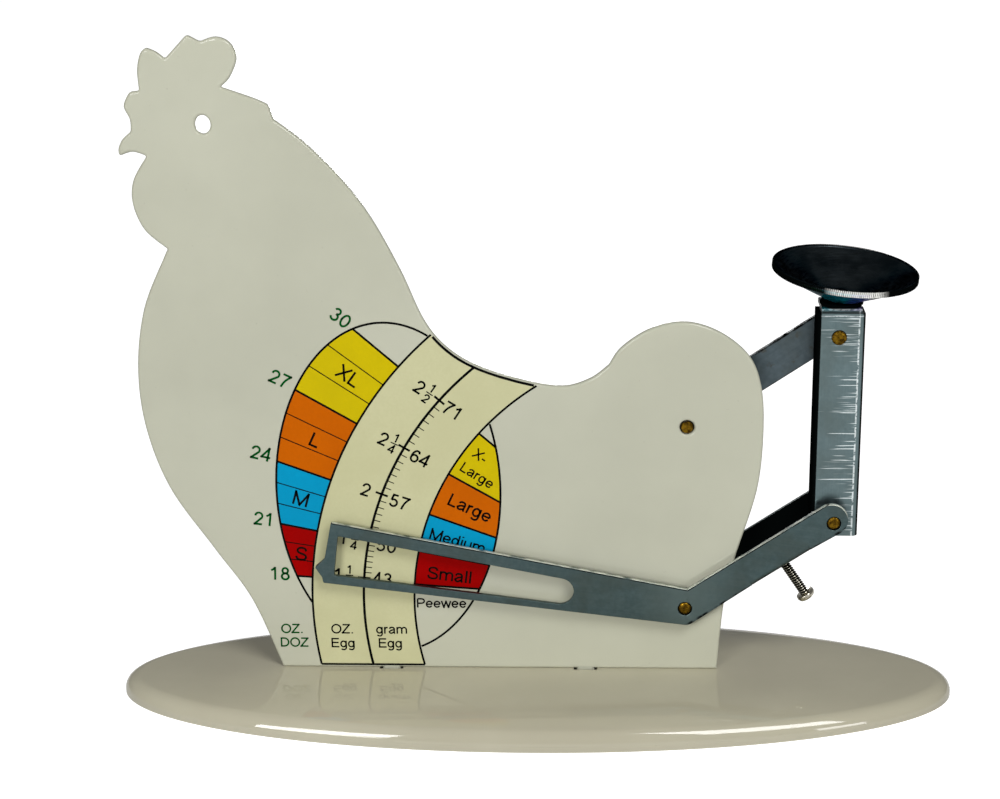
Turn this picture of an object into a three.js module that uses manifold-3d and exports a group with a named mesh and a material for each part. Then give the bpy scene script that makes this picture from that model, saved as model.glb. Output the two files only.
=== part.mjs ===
// Egg scale: a hen-shaped sheet stands on an oval foot and carries a four-bar linkage.
// A bent lever is pointer and load arm in one, a link runs behind the sheet, and the
// channel post between their ends keeps the egg pan upright while the pointer climbs.
// Millimetres, +Z up, +X towards the pan, +Y to the back, origin under the middle of the foot.

import * as THREE from 'three';
import { mergeVertices, toCreasedNormals } from 'three/addons/utils/BufferGeometryUtils.js';
import Module from 'manifold-3d';

const wasm = await Module();
wasm.setup();

// Gaps: seats between pieces of one body, running faces, and round pins in their holes
const seatGap = 0.3;
const runGap = 0.2;
const pinPlay = 0.3;
const cutOverrun = 2;

// Foot: an oval sheet with rolled-down edges
const footLength = 222.5;
const footWidth = 75.4;
const footHeight = 4.5;
const footSheet = 1.2;
const footEdgeRadius = 3.6;

// Hen plate: places on it are shares of its length and height, from the beak side and the foot
const plateLength = 164;
const plateHeight = 170.5;
const plateSheet = 2;
const plateFront = 3;
const beakReach = 104.4;
const plateEdgeRadius = 0.4;
const eyeWidth = 3.9;
const eyeHeight = 4.7;
const eyeShare = [0.132, 0.869];
const tabWidth = 4.8;
const tabDepth = 2.6;
const tabShares = [0.395, 0.716];
const pivotShare = [0.878, 0.1126];

// Linkage: two equal arms, one above the other, and the post between their ends
const pivotSpacing = 49.7;
const armLength = 45.87;
const armRise = THREE.MathUtils.degToRad(32.2);
const edgeTurn = THREE.MathUtils.degToRad(1.7);
const pinRadius = 1.6;
const pinHeadRadius = 3;
const pinHead = 1;

// Bent lever: pointer blade, load arm and the fork that straddles plate and post
const leverSheet = 1.25;
const leverGap = 2.25;
const armTop = 4.2;
const armFoot = 4.6;
const foldRadius = 1.6;
const webClearance = 2.2;
const webPostClearance = 1;
const pointerReach = 98.4;
const pointerRise = 24.1;
const windowEndRadius = 3.7;

// Upper link and its counterweight arm
const linkSheet = 1.5;
const linkTop = 4.5;
const linkFoot = 5.2;
const weightArm = 48;
const weightTurn = THREE.MathUtils.degToRad(32);
const weightRadius = 13.5;
const weightLength = 18;
const weightEdge = 1;

// Depths from front to back, between the sheets of the linkage
const postInset = 2.75;
const linkClearance = 1;
const rearClearance = 1.2;

// Post: a folded channel with its top bent back as a seat for the pan
const postWidth = 12.5;
const postShift = 0.5;
const postDepth = 8;
const postSheet = 1.25;
const postFold = 1.4;
const postDrop = 4.96;
const tabClearance = 0.8;
const tabSeatWidth = 10.5;
const tabSeatDepth = 11;
const tabRelief = 0.4;

// Spacers and clips on the pins
const spacerRadius = 3.5;
const clipRadius = 3.8;
const clipThickness = 0.8;
const pinTail = 0.6;
const rivetHeadProud = 0.6;
const rivetHeadRadius = 1.85;

// Pan: washer, dish with a rolled rim, and the rivet that holds them
const panRadius = 18.8;
const panRise = 7.4;
const panFloorRadius = 5;
const panSheet = 0.8;
const panBead = 0.7;
const panTilt = THREE.MathUtils.degToRad(4.8);
const panLean = THREE.MathUtils.degToRad(5);
const panShift = 0.75;
const washerRadius = 5.65;
const washerThickness = 0.8;
const panRivetRadius = 1.2;
const panRivetHead = 2.6;
const panRivetCap = 0.7;

// Adjusting screw under the load arm
const screwRadius = 1.35;
const screwHeadRadius = 2.5;
const screwHeadHeight = 1.9;
const screwLength = 14.2;
const screwInside = 5;
const screwSlotWidth = 0.7;
const screwSlotDepth = 0.9;
const screwShare = 0.5;
const nutWidth = 5.5;
const nutHeight = 2.2;

// Materials
const enamel = new THREE.MeshStandardMaterial({ color: '#e6e3d2', roughness: 0.3, metalness: 0 });
const zincSteel = new THREE.MeshStandardMaterial({ color: '#8b979c', roughness: 0.38, metalness: 1 });
const brass = new THREE.MeshStandardMaterial({ color: '#b5893c', roughness: 0.35, metalness: 1 });
const blackenedSteel = new THREE.MeshStandardMaterial({ color: '#24333a', roughness: 0.3, metalness: 1 });
const castIron = new THREE.MeshStandardMaterial({ color: '#565a5c', roughness: 0.6, metalness: 1 });

// Hen outline, anticlockwise from the foot's front corner: one row for each stretch between corners
const henShares = {
  breast: [[0.215, 0], [0.169, 0.115], [0.113, 0.199], [0.047, 0.299], [0.014, 0.397], [0.007, 0.493],
    [0.023, 0.588], [0.06, 0.669], [0.067, 0.681]],
  wattle: [[0.067, 0.681], [0.033, 0.71], [0.017, 0.749], [0.02, 0.785], [0.043, 0.822]],
  underBeak: [[0.043, 0.822], [0.022, 0.828], [0.002, 0.822]],
  beak: [[0.002, 0.822], [0, 0.831], [0.007, 0.846], [0.021, 0.858]],
  face: [[0.021, 0.858], [0.021, 0.876], [0.013, 0.894], [0.017, 0.907], [0.024, 0.917]],
  brow: [[0.024, 0.917], [0.038, 0.918]],
  combFront: [[0.038, 0.918], [0.037, 0.949], [0.043, 0.972], [0.052, 0.981]],
  combValley: [[0.052, 0.981], [0.067, 0.975], [0.08, 0.965]],
  combRise: [[0.08, 0.965], [0.115, 1]],
  combSaddle: [[0.115, 1], [0.134, 0.99]],
  combLobe: [[0.134, 0.99], [0.158, 0.997], [0.179, 0.989], [0.189, 0.967], [0.177, 0.938], [0.162, 0.924]],
  nape: [[0.162, 0.924], [0.193, 0.914], [0.216, 0.906], [0.234, 0.898]],
  step: [[0.234, 0.898], [0.24, 0.877]],
  back: [[0.24, 0.877], [0.288, 0.841], [0.34, 0.789], [0.384, 0.731], [0.428, 0.65], [0.462, 0.574],
    [0.495, 0.532], [0.542, 0.502], [0.613, 0.479], [0.679, 0.469], [0.723, 0.481], [0.753, 0.503]],
  tail: [[0.753, 0.503], [0.773, 0.531], [0.818, 0.56], [0.872, 0.571], [0.926, 0.556], [0.973, 0.52],
    [0.994, 0.473], [1, 0.401], [0.992, 0.303], [0.959, 0.189], [0.942, 0.109], [0.933, 0]],
};

// Widest place of the tail that the lever's web swings past
const tailPassShare = 0.959;

// Pointer blade, as shares of its reach and rise from the lower pivot
const tipShares = [[-0.982, 0.353], [-1, 0.469], [-0.973, 0.573]];
const bladeTopShare = [-0.952, 1];
const bladeFootShare = [-0.979, 0.286];
const windowTopShare = [-0.935, 0.838];
const windowFootShare = [-0.949, 0.373];
const windowEndShare = [-0.339, 0.199];
const elbowTopShare = 0.078;
const elbowFootShare = -0.04;

// Facets round a full circle
const pinSides = 24;
const smallSides = 32;
const panSides = 64;
const weightSides = 40;
const footSides = 112;
const outlineFacet = 2.6;
const eyeSteps = 20;
const creaseAngle = THREE.MathUtils.degToRad(30);

// Places that follow from the sizes
const plateBack = plateFront + plateSheet;
const cheekBack = plateFront - leverGap;
const cheekFront = cheekBack - leverSheet;
const postFront = cheekBack + postInset;
const postWebBack = postFront + postSheet;
const postBack = postFront + postDepth;
const linkFront = postBack + linkClearance;
const linkBack = linkFront + linkSheet;
const clipBack = linkBack + runGap + clipThickness;
const rearFront = linkBack + rearClearance;
const rearBack = rearFront + leverSheet;
const lowerPivot = new THREE.Vector3(
  plateLength * pivotShare[0] - beakReach, 0, footHeight + plateHeight * pivotShare[1]);
const upperPivot = lowerPivot.clone().setZ(lowerPivot.z + pivotSpacing);
const armSpan = new THREE.Vector2(Math.cos(armRise), Math.sin(armRise)).multiplyScalar(armLength);
const postPin = new THREE.Vector3(lowerPivot.x + armSpan.x, 0, lowerPivot.z + armSpan.y);
const edgeAngle = armRise + edgeTurn;
const holeRadius = pinRadius + pinPlay;
const pinAcross = -armLength * Math.sin(edgeTurn);
const pinAlong = armLength * Math.cos(edgeTurn);
const linkSweep = (linkTop + linkFoot) / 2 + (linkTop - linkFoot) / 2 - pinAcross;
const postTop = pivotSpacing + linkSweep + tabClearance + postSheet;
const panDepth = postFront + (tabSeatDepth - postSheet) / 2;

// Solids
function toSolid(geometry) {
  const bare = geometry.clone();
  bare.deleteAttribute('normal');
  bare.deleteAttribute('uv');
  const merged = mergeVertices(bare);
  return new wasm.Manifold(new wasm.Mesh({
    numProp: 3,
    vertProperties: new Float32Array(merged.attributes.position.array),
    triVerts: new Uint32Array(merged.index.array),
  }));
}

function toGeometry(solid) {
  const mesh = solid.getMesh();
  const geometry = new THREE.BufferGeometry();
  geometry.setAttribute('position', new THREE.BufferAttribute(mesh.vertProperties, mesh.numProp));
  geometry.setIndex(new THREE.BufferAttribute(mesh.triVerts, 1));
  return geometry;
}

function join(...geometries) {
  return toGeometry(geometries.map(toSolid).reduce((whole, next) => whole.add(next)));
}

function cut(geometry, ...tools) {
  return toGeometry(tools.map(toSolid).reduce((whole, tool) => whole.subtract(tool), toSolid(geometry)));
}

// A flat sheet in the X-Z plane between two depths
function sheet(shape, front, back, steps = 1) {
  const geometry = new THREE.ExtrudeGeometry(shape, {
    depth: back - front,
    bevelEnabled: false,
    curveSegments: steps,
  });
  return geometry.rotateX(Math.PI / 2).translate(0, back, 0);
}

// A round hole or plug along Y
function round(radius, front, back, x, z, sides = pinSides) {
  const geometry = new THREE.CylinderGeometry(radius, radius, back - front, sides);
  return geometry.translate(x, (front + back) / 2, z);
}

function holeThrough(front, back, x, z, radius = holeRadius) {
  return round(radius, front - cutOverrun, back + cutOverrun, x, z);
}

function turned(profile, sides) {
  return new THREE.LatheGeometry(profile.map(([r, y]) => new THREE.Vector2(r, y)), sides);
}

function ring(inner, outer, front, back, sides = smallSides) {
  return turned([[inner, front], [outer, front], [outer, back], [inner, back], [inner, front]], sides);
}

function piece(name, geometry, material, parent) {
  const mesh = new THREE.Mesh(toCreasedNormals(geometry, creaseAngle), material);
  mesh.name = name;
  parent.add(mesh);
  return mesh;
}

// Groups: everything that is fixed, and one group at the joint of each moving body
const eggScale = new THREE.Group();
const atLowerPivot = new THREE.Group();
atLowerPivot.position.copy(lowerPivot);
const atUpperPivot = new THREE.Group();
atUpperPivot.position.copy(upperPivot);
const lever = new THREE.Group();
lever.position.copy(lowerPivot);
const link = new THREE.Group();
link.position.copy(upperPivot);
const post = new THREE.Group();
post.position.copy(postPin);
eggScale.add(atLowerPivot, atUpperPivot, lever, link, post);

// Foot
function footShell(inset, edge) {
  const oval = new THREE.Shape();
  oval.absellipse(0, 0, footLength / 2 - inset, footWidth / 2 - inset, 0, 2 * Math.PI);
  const geometry = new THREE.ExtrudeGeometry(new THREE.Shape(oval.getPoints(footSides / 2)), {
    depth: footHeight,
    bevelThickness: edge,
    bevelSize: edge,
    bevelOffset: -edge,
    bevelSegments: 4,
  });
  return geometry.translate(0, 0, -edge - inset);
}

function tabSlots() {
  return tabShares.map((share) => {
    const slot = new THREE.BoxGeometry(
      tabWidth + 2 * seatGap, plateSheet + 2 * seatGap, footSheet + 2 * cutOverrun);
    return slot.translate(
      plateLength * share - beakReach, plateFront + plateSheet / 2, footHeight - footSheet / 2);
  });
}

function makeFoot() {
  const below = new THREE.BoxGeometry(2 * footLength, 2 * footWidth, 2 * footHeight + 2 * cutOverrun);
  below.translate(0, 0, -footHeight - cutOverrun);
  const outside = footShell(0, footEdgeRadius);
  const inside = footShell(footSheet, footEdgeRadius - footSheet);
  return cut(outside, inside, below, ...tabSlots());
}
piece('base', makeFoot(), enamel, eggScale);

// Hen plate
function onPlate([along, up]) {
  return new THREE.Vector2(plateLength * along - beakReach, footHeight + plateHeight * up);
}

// A smooth stretch in even facets, without its last point; two points alone make a straight edge
function stretch(points) {
  if (points.length === 2) {
    return [points[0]];
  }
  const curve = new THREE.SplineCurve(points);
  const facets = Math.max(points.length - 1, Math.round(curve.getLength() / outlineFacet));
  return curve.getSpacedPoints(facets).slice(0, -1);
}

function henOutline() {
  const outline = Object.values(henShares).flatMap((row) => stretch(row.map(onPlate)));
  outline.push(onPlate(henShares.tail.at(-1)));
  for (const share of [...tabShares].reverse()) {
    const centre = plateLength * share - beakReach;
    const tabFoot = footHeight - tabDepth;
    outline.push(
      new THREE.Vector2(centre + tabWidth / 2, footHeight),
      new THREE.Vector2(centre + tabWidth / 2, tabFoot),
      new THREE.Vector2(centre - tabWidth / 2, tabFoot),
      new THREE.Vector2(centre - tabWidth / 2, footHeight),
    );
  }
  return new THREE.Shape(outline);
}

function makePlate() {
  const geometry = new THREE.ExtrudeGeometry(henOutline(), {
    depth: plateSheet - 2 * plateEdgeRadius,
    bevelThickness: plateEdgeRadius,
    bevelSize: plateEdgeRadius,
    bevelOffset: -plateEdgeRadius,
    bevelSegments: 1,
  });
  geometry.rotateX(Math.PI / 2).translate(0, plateBack - plateEdgeRadius, 0);
  const eye = new THREE.Shape();
  const eyeCentre = onPlate(eyeShare);
  eye.absellipse(eyeCentre.x, eyeCentre.y, eyeWidth / 2, eyeHeight / 2, 0, 2 * Math.PI);
  const eyeOval = new THREE.Shape(eye.getPoints(eyeSteps / 2));
  return cut(
    geometry,
    sheet(eyeOval, plateFront - cutOverrun, plateBack + cutOverrun),
    holeThrough(plateFront, plateBack, lowerPivot.x, lowerPivot.z),
    holeThrough(plateFront, plateBack, upperPivot.x, upperPivot.z),
  );
}
piece('body_plate', makePlate(), enamel, eggScale);

// Pins and spacers of the plate: the lower pin carries the lever, the upper pin the link
function headedPin(front, back) {
  return turned([
    [0, front], [pinRadius, front], [pinRadius, back], [pinHeadRadius, back],
    [pinHeadRadius, back + pinHead], [0, back + pinHead],
  ], pinSides);
}

function plainPin(front, back) {
  return turned([[0, front], [pinRadius, front], [pinRadius, back], [0, back]], pinSides);
}

function spacer(front, back) {
  return ring(holeRadius, spacerRadius, front, back);
}

function clip() {
  return ring(holeRadius, clipRadius, clipBack - clipThickness, clipBack);
}

piece('lower_pivot_pin', headedPin(cheekFront, rearBack + runGap), brass, atLowerPivot);
piece('upper_pivot_pin', plainPin(plateFront, clipBack + pinTail), brass, atUpperPivot);
piece('lever_front_spacer', spacer(cheekBack + runGap, plateFront), brass, atLowerPivot);
piece('lever_rear_spacer', spacer(plateBack, rearFront - runGap), zincSteel, atLowerPivot);
piece('link_plate_spacer', spacer(plateBack, linkFront - runGap), zincSteel, atUpperPivot);
piece('link_plate_clip', clip(), zincSteel, atUpperPivot);

// A point given along and across the edges of an arm
function onArm(along, across) {
  return new THREE.Vector2(along, across).rotateAround(new THREE.Vector2(), edgeAngle);
}

// Round end of an arm, from its foot edge over to its top edge
function roundEnd(shape, top, foot) {
  const centre = onArm(pinAlong, (top - foot) / 2);
  shape.absarc(centre.x, centre.y, (top + foot) / 2, edgeAngle + Math.PI / 2, edgeAngle - Math.PI / 2, true);
}

// Bent lever, drawn from the lower pivot
function onBlade([along, up]) {
  return new THREE.Vector2(pointerReach * along, pointerRise * up);
}

function frontCheek() {
  const outline = new THREE.Shape();
  const bladeFoot = onBlade(bladeFootShare);
  const corners = [...tipShares, bladeTopShare].map(onBlade);
  corners.push(onArm(armLength * elbowTopShare, armTop));
  outline.moveTo(bladeFoot.x, bladeFoot.y);
  for (const corner of corners) {
    outline.lineTo(corner.x, corner.y);
  }
  roundEnd(outline, armTop, armFoot);
  const elbowFoot = onArm(armLength * elbowFootShare, -armFoot);
  outline.lineTo(elbowFoot.x, elbowFoot.y);
  return outline;
}

// Window of the pointer: slanted sides that run into a round end
function pointerWindow() {
  const top = onBlade(windowTopShare);
  const foot = onBlade(windowFootShare);
  const centre = onBlade(windowEndShare);
  const tangent = (corner, side) => {
    const toCentre = centre.clone().sub(corner);
    return toCentre.angle() + side * Math.acos(windowEndRadius / toCentre.length()) + Math.PI;
  };
  const opening = new THREE.Shape();
  opening.moveTo(top.x, top.y);
  opening.lineTo(foot.x, foot.y);
  opening.absarc(centre.x, centre.y, windowEndRadius, tangent(foot, 1), tangent(top, -1), false);
  return opening;
}

function rearCheek() {
  const outline = new THREE.Shape();
  const middle = (armTop - armFoot) / 2;
  const heel = onArm(0, middle);
  outline.absarc(
    heel.x, heel.y, (armTop + armFoot) / 2, edgeAngle + 1.5 * Math.PI, edgeAngle + Math.PI / 2, true);
  roundEnd(outline, armTop, armFoot);
  return outline;
}

// The web joins the cheeks along the foot edge, from beside the plate to just before the post
const plateEdge = plateLength * (tailPassShare - pivotShare[0]);
const webStart = (plateEdge + webClearance) / Math.cos(edgeAngle);
const webEnd = pinAlong - Math.hypot(postWidth / 2, postDrop) - webPostClearance;

function foldSection() {
  const inner = foldRadius - leverSheet;
  const section = new THREE.Shape();
  section.moveTo(cheekFront, foldRadius);
  section.absarc(cheekFront + foldRadius, foldRadius, foldRadius, Math.PI, 1.5 * Math.PI, false);
  section.absarc(rearBack - foldRadius, foldRadius, foldRadius, 1.5 * Math.PI, 2 * Math.PI, false);
  section.lineTo(rearFront, foldRadius);
  section.absarc(rearBack - foldRadius, foldRadius, inner, 0, -Math.PI / 2, true);
  section.absarc(cheekFront + foldRadius, foldRadius, inner, -Math.PI / 2, -Math.PI, true);
  return section;
}

// Turns a length drawn along X so that it follows the arm
function alongArm(geometry) {
  return geometry.rotateY(-edgeAngle);
}

function leverWeb() {
  const geometry = new THREE.ExtrudeGeometry(foldSection(), {
    depth: webEnd - webStart,
    bevelEnabled: false,
    curveSegments: 3,
  });
  geometry.rotateX(Math.PI / 2).rotateZ(Math.PI / 2);
  return alongArm(geometry.translate(webStart, 0, -armFoot));
}

function webCorner(front, back) {
  const corner = new THREE.BoxGeometry(webEnd - webStart, back - front, foldRadius + cutOverrun);
  corner.translate((webStart + webEnd) / 2, (front + back) / 2, (foldRadius - cutOverrun) / 2 - armFoot);
  return alongArm(corner);
}

function makeLever() {
  const window = new THREE.Shape(pointerWindow().getPoints(smallSides / 2));
  const front = cut(
    sheet(frontCheek(), cheekFront, cheekBack, smallSides / 2),
    sheet(window, cheekFront - cutOverrun, cheekBack + cutOverrun),
    webCorner(cheekFront - cutOverrun, cheekBack + cutOverrun),
  );
  const rear = cut(
    sheet(rearCheek(), rearFront, rearBack, smallSides / 2),
    webCorner(rearFront - cutOverrun, rearBack + cutOverrun),
  );
  return cut(
    join(front, rear, leverWeb()),
    holeThrough(cheekFront, rearBack, 0, 0),
    holeThrough(cheekFront, rearBack, armSpan.x, armSpan.y),
    screwHole(),
  );
}

// Adjusting screw and nut, drawn from the outer face of the web with the head down
const screwPlace = onArm(webStart + (webEnd - webStart) * screwShare, -armFoot);
const screwDepth = (cheekFront + rearBack) / 2;

function placeOnWeb(geometry) {
  return alongArm(geometry).translate(screwPlace.x, screwDepth, screwPlace.y);
}

function screwHole() {
  const hole = new THREE.CylinderGeometry(
    screwRadius + pinPlay, screwRadius + pinPlay, leverSheet + 2 * cutOverrun, pinSides);
  return placeOnWeb(hole.rotateX(Math.PI / 2));
}

function makeScrew() {
  const headTop = screwHeadHeight - screwLength;
  const shank = turned([
    [0, -screwLength], [screwHeadRadius / 2, -screwLength],
    [screwHeadRadius, -screwLength + screwHeadHeight / 2], [screwHeadRadius, headTop],
    [screwRadius, headTop], [screwRadius, screwInside], [0, screwInside],
  ], pinSides).rotateX(Math.PI / 2);
  const slot = new THREE.BoxGeometry(
    2 * screwHeadRadius + cutOverrun, screwSlotWidth, screwSlotDepth + cutOverrun);
  slot.translate(0, 0, -screwLength + (screwSlotDepth - cutOverrun) / 2);
  return placeOnWeb(cut(shank, slot));
}

function makeNut() {
  const across = nutWidth / Math.sqrt(3);
  const hex = new THREE.CylinderGeometry(across, across, nutHeight, 6);
  const bore = new THREE.CylinderGeometry(
    screwRadius + seatGap, screwRadius + seatGap, nutHeight + 2 * cutOverrun, pinSides);
  const nut = cut(hex, bore).rotateX(Math.PI / 2);
  return placeOnWeb(nut.translate(0, 0, leverSheet + seatGap + nutHeight / 2));
}

piece('pointer_lever', makeLever(), zincSteel, lever);
piece('adjusting_screw', makeScrew(), zincSteel, lever);
piece('adjusting_nut', makeNut(), zincSteel, lever);

// Upper link: the visible arm to the post, and the arm that carries the weight behind the plate
function linkArm() {
  const outline = new THREE.Shape();
  const heel = onArm(0, (linkTop - linkFoot) / 2);
  outline.absarc(
    heel.x, heel.y, (linkTop + linkFoot) / 2, edgeAngle + 1.5 * Math.PI, edgeAngle + Math.PI / 2, true);
  roundEnd(outline, linkTop, linkFoot);
  return outline;
}

const weightPlace = new THREE.Vector2(-Math.sin(weightTurn), -Math.cos(weightTurn)).multiplyScalar(weightArm);
const weightBar = (linkTop + linkFoot) / 2;

function weightArmShape() {
  const along = weightPlace.angle();
  const outline = new THREE.Shape();
  outline.absarc(0, 0, weightBar, along + Math.PI / 2, along + 1.5 * Math.PI, false);
  outline.absarc(weightPlace.x, weightPlace.y, weightBar, along - Math.PI / 2, along + Math.PI / 2, false);
  return outline;
}

function makeLink() {
  return cut(
    join(
      sheet(linkArm(), linkFront, linkBack, pinSides / 2),
      sheet(weightArmShape(), linkFront, linkBack, pinSides / 2),
    ),
    holeThrough(linkFront, linkBack, 0, 0),
    holeThrough(linkFront, linkBack, armSpan.x, armSpan.y),
    holeThrough(linkFront, linkBack, weightPlace.x, weightPlace.y),
  );
}

function makeWeight() {
  const back = linkBack + weightLength;
  return turned([
    [holeRadius, linkBack], [weightRadius - weightEdge, linkBack], [weightRadius, linkBack + weightEdge],
    [weightRadius, back - weightEdge], [weightRadius - weightEdge, back], [holeRadius, back],
    [holeRadius, linkBack],
  ], weightSides).translate(weightPlace.x, 0, weightPlace.y);
}

function makeWeightRivet() {
  const front = linkFront - pinHead / 2;
  const back = linkBack + weightLength;
  return turned([
    [0, front], [pinHeadRadius, front], [pinHeadRadius, linkFront], [pinRadius, linkFront],
    [pinRadius, back], [pinHeadRadius, back], [pinHeadRadius, back + pinHead], [0, back + pinHead],
  ], pinSides).translate(weightPlace.x, 0, weightPlace.y);
}

piece('upper_link', makeLink(), zincSteel, link);
piece('counterweight', makeWeight(), castIron, link);
piece('counterweight_rivet', makeWeightRivet(), zincSteel, link);

// Post, drawn from its lower pin
function channelSection() {
  const side = postWidth / 2;
  const inner = postFold - postSheet;
  const section = new THREE.Shape();
  section.moveTo(-side, postBack);
  section.absarc(-side + postFold, postFront + postFold, postFold, Math.PI, 1.5 * Math.PI, false);
  section.absarc(side - postFold, postFront + postFold, postFold, 1.5 * Math.PI, 2 * Math.PI, false);
  section.lineTo(side, postBack);
  section.lineTo(side - postSheet, postBack);
  section.absarc(side - postFold, postFront + postFold, inner, 0, -Math.PI / 2, true);
  section.absarc(-side + postFold, postFront + postFold, inner, -Math.PI / 2, -Math.PI, true);
  section.lineTo(-side + postSheet, postBack);
  return section;
}

// The web's top, bent back: drawn in depth and height, run across the post
function seatSection() {
  const inner = postFold - postSheet;
  const bendHeight = postTop - postFold;
  const bendDepth = postFront + postFold;
  const section = new THREE.Shape();
  section.moveTo(postFront, pivotSpacing);
  section.lineTo(postWebBack, pivotSpacing);
  section.absarc(bendDepth, bendHeight, inner, Math.PI, Math.PI / 2, true);
  section.lineTo(postFront + tabSeatDepth, postTop - postSheet);
  section.lineTo(postFront + tabSeatDepth, postTop);
  section.absarc(bendDepth, bendHeight, postFold, Math.PI / 2, Math.PI, false);
  return section;
}

function makePost() {
  const channelTop = postTop - postSheet - tabRelief;
  const channel = new THREE.ExtrudeGeometry(channelSection(), {
    depth: channelTop + postDrop,
    bevelEnabled: false,
    curveSegments: 4,
  });
  channel.translate(postShift, 0, -postDrop);
  const seat = new THREE.ExtrudeGeometry(seatSection(), {
    depth: tabSeatWidth,
    bevelEnabled: false,
    curveSegments: 6,
  });
  seat.rotateX(Math.PI / 2).rotateZ(Math.PI / 2).translate(postShift - tabSeatWidth / 2, 0, 0);
  const rivetHole = new THREE.CylinderGeometry(
    panRivetRadius + 2 * pinPlay, panRivetRadius + 2 * pinPlay, postSheet + 2 * cutOverrun, pinSides);
  rivetHole.rotateX(Math.PI / 2).translate(panShift, panDepth, postTop);
  return cut(
    join(channel, seat),
    holeThrough(postFront, postWebBack, 0, 0),
    holeThrough(postFront, postWebBack, 0, pivotSpacing),
    rivetHole,
  );
}

function upperPostPin() {
  const back = clipBack + pinTail;
  const front = postFront - rivetHeadProud;
  return turned([
    [0, front], [rivetHeadRadius - rivetHeadProud / 2, front], [rivetHeadRadius, front + rivetHeadProud / 2],
    [rivetHeadRadius, postFront], [pinRadius, postFront], [pinRadius, back], [0, back],
  ], pinSides).translate(0, 0, pivotSpacing);
}

piece('post', makePost(), zincSteel, post);
piece('post_lower_pin', headedPin(cheekFront, rearBack + runGap), brass, post);
piece('post_upper_pin', upperPostPin(), brass, post);
piece('post_front_spacer', spacer(cheekBack + runGap, postFront), zincSteel, post);
piece('post_rear_spacer', spacer(postWebBack, rearFront - runGap), zincSteel, post);
const linkTube = spacer(postWebBack, linkFront - runGap).translate(0, 0, pivotSpacing);
piece('link_post_spacer', linkTube, zincSteel, post);
piece('link_post_clip', clip().translate(0, 0, pivotSpacing), zincSteel, post);

// Pan group: washer on the post's seat, dish tilted on its rivet
const panSeat = new THREE.Group();
panSeat.position.set(panShift, panDepth, postTop);
post.add(panSeat);
const washerBore = panRivetRadius + 2 * pinPlay;
const panWasher = ring(washerBore, washerRadius, 0, washerThickness, smallSides).rotateX(Math.PI / 2);
piece('pan_washer', panWasher, blackenedSteel, panSeat);

// The dish tilts to the right and leans to the front, so its floor touches the washer at one side only
const tiltedPan = new THREE.Group();
const panAskew = Math.atan(Math.hypot(Math.tan(panTilt), Math.tan(panLean)));
const panLift = panFloorRadius * Math.tan(panAskew) + seatGap / 2;
tiltedPan.rotation.set(panLean, panTilt, 0);
tiltedPan.position.z = washerThickness + panLift;
panSeat.add(tiltedPan);

function makePan() {
  const bore = panRivetRadius + pinPlay;
  const slope = Math.atan2(panRise, panRadius - panFloorRadius);
  const wall = new THREE.Vector2(-Math.sin(slope), Math.cos(slope)).multiplyScalar(panSheet);
  const beadCentre = [panRadius - panBead, panRise];
  const rim = [];
  const beadSteps = 8;
  const beadStart = slope - Math.PI / 2;
  for (let step = 0; step <= beadSteps; step += 1) {
    const angle = beadStart + step / beadSteps * 1.25 * Math.PI;
    rim.push([beadCentre[0] + panBead * Math.cos(angle), beadCentre[1] + panBead * Math.sin(angle)]);
  }
  return turned([
    [bore, 0], [panFloorRadius, 0], ...rim,
    [panFloorRadius + wall.x / 2, panSheet], [bore, panSheet], [bore, 0],
  ], panSides).rotateX(Math.PI / 2);
}

function makePanRivet() {
  const foot = -washerThickness - postSheet - panLift - panRivetHead * Math.tan(panAskew) - seatGap / 2;
  const footLow = foot - panRivetCap;
  const capFoot = panSheet + seatGap / 2;
  return turned([
    [0, footLow], [panRivetHead, footLow], [panRivetHead, foot], [panRivetRadius, foot],
    [panRivetRadius, capFoot], [panRivetHead, capFoot], [panRivetHead / 2, capFoot + panRivetCap],
    [0, capFoot + panRivetCap],
  ], pinSides).rotateX(Math.PI / 2);
}

piece('pan', makePan(), blackenedSteel, tiltedPan);
piece('pan_rivet', makePanRivet(), zincSteel, tiltedPan);

export default eggScale;
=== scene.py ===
# Looks of the egg scale: a hen-shaped enamelled sheet on an oval foot, with a printed dial and a
# four-bar linkage of plated steel that carries the egg pan. Every section makes one piece or group
# of like pieces, in millimetres turned to metres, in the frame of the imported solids.
import math

import bmesh
import bpy
from mathutils import Matrix, Vector
from mathutils.geometry import tessellate_polygon


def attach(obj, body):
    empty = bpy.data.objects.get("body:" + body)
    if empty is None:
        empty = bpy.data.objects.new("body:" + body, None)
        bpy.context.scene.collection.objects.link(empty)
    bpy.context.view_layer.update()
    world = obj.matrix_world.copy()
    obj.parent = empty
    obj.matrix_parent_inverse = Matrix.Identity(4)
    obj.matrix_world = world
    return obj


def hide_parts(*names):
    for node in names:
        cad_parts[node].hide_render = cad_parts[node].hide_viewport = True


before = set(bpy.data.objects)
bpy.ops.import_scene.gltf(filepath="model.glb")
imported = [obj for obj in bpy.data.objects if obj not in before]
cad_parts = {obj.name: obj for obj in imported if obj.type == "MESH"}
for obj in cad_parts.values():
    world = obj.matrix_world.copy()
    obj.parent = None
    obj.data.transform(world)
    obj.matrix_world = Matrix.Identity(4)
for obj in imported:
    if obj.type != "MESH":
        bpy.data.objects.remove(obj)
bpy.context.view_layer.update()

# Stage: a plain white floor and surround, three broad soft lamps in front and a low one behind, and the
# photograph's camera, which looks down at 17.6 degrees from a little to the right.
mm = 0.001
scene = bpy.context.scene
scene.view_settings.view_transform = "Standard"
camera_place = (21.6, -505.0, 242.2)
camera_drop = 17.6
camera_swing = 0.8
camera_lens = 73.8
camera_shift = -0.091
surround_level = 0.12
surround_shine = 0.06
floor_reach = 4.0
floor_glow = 0.975
floor_shine = 0.475
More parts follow.
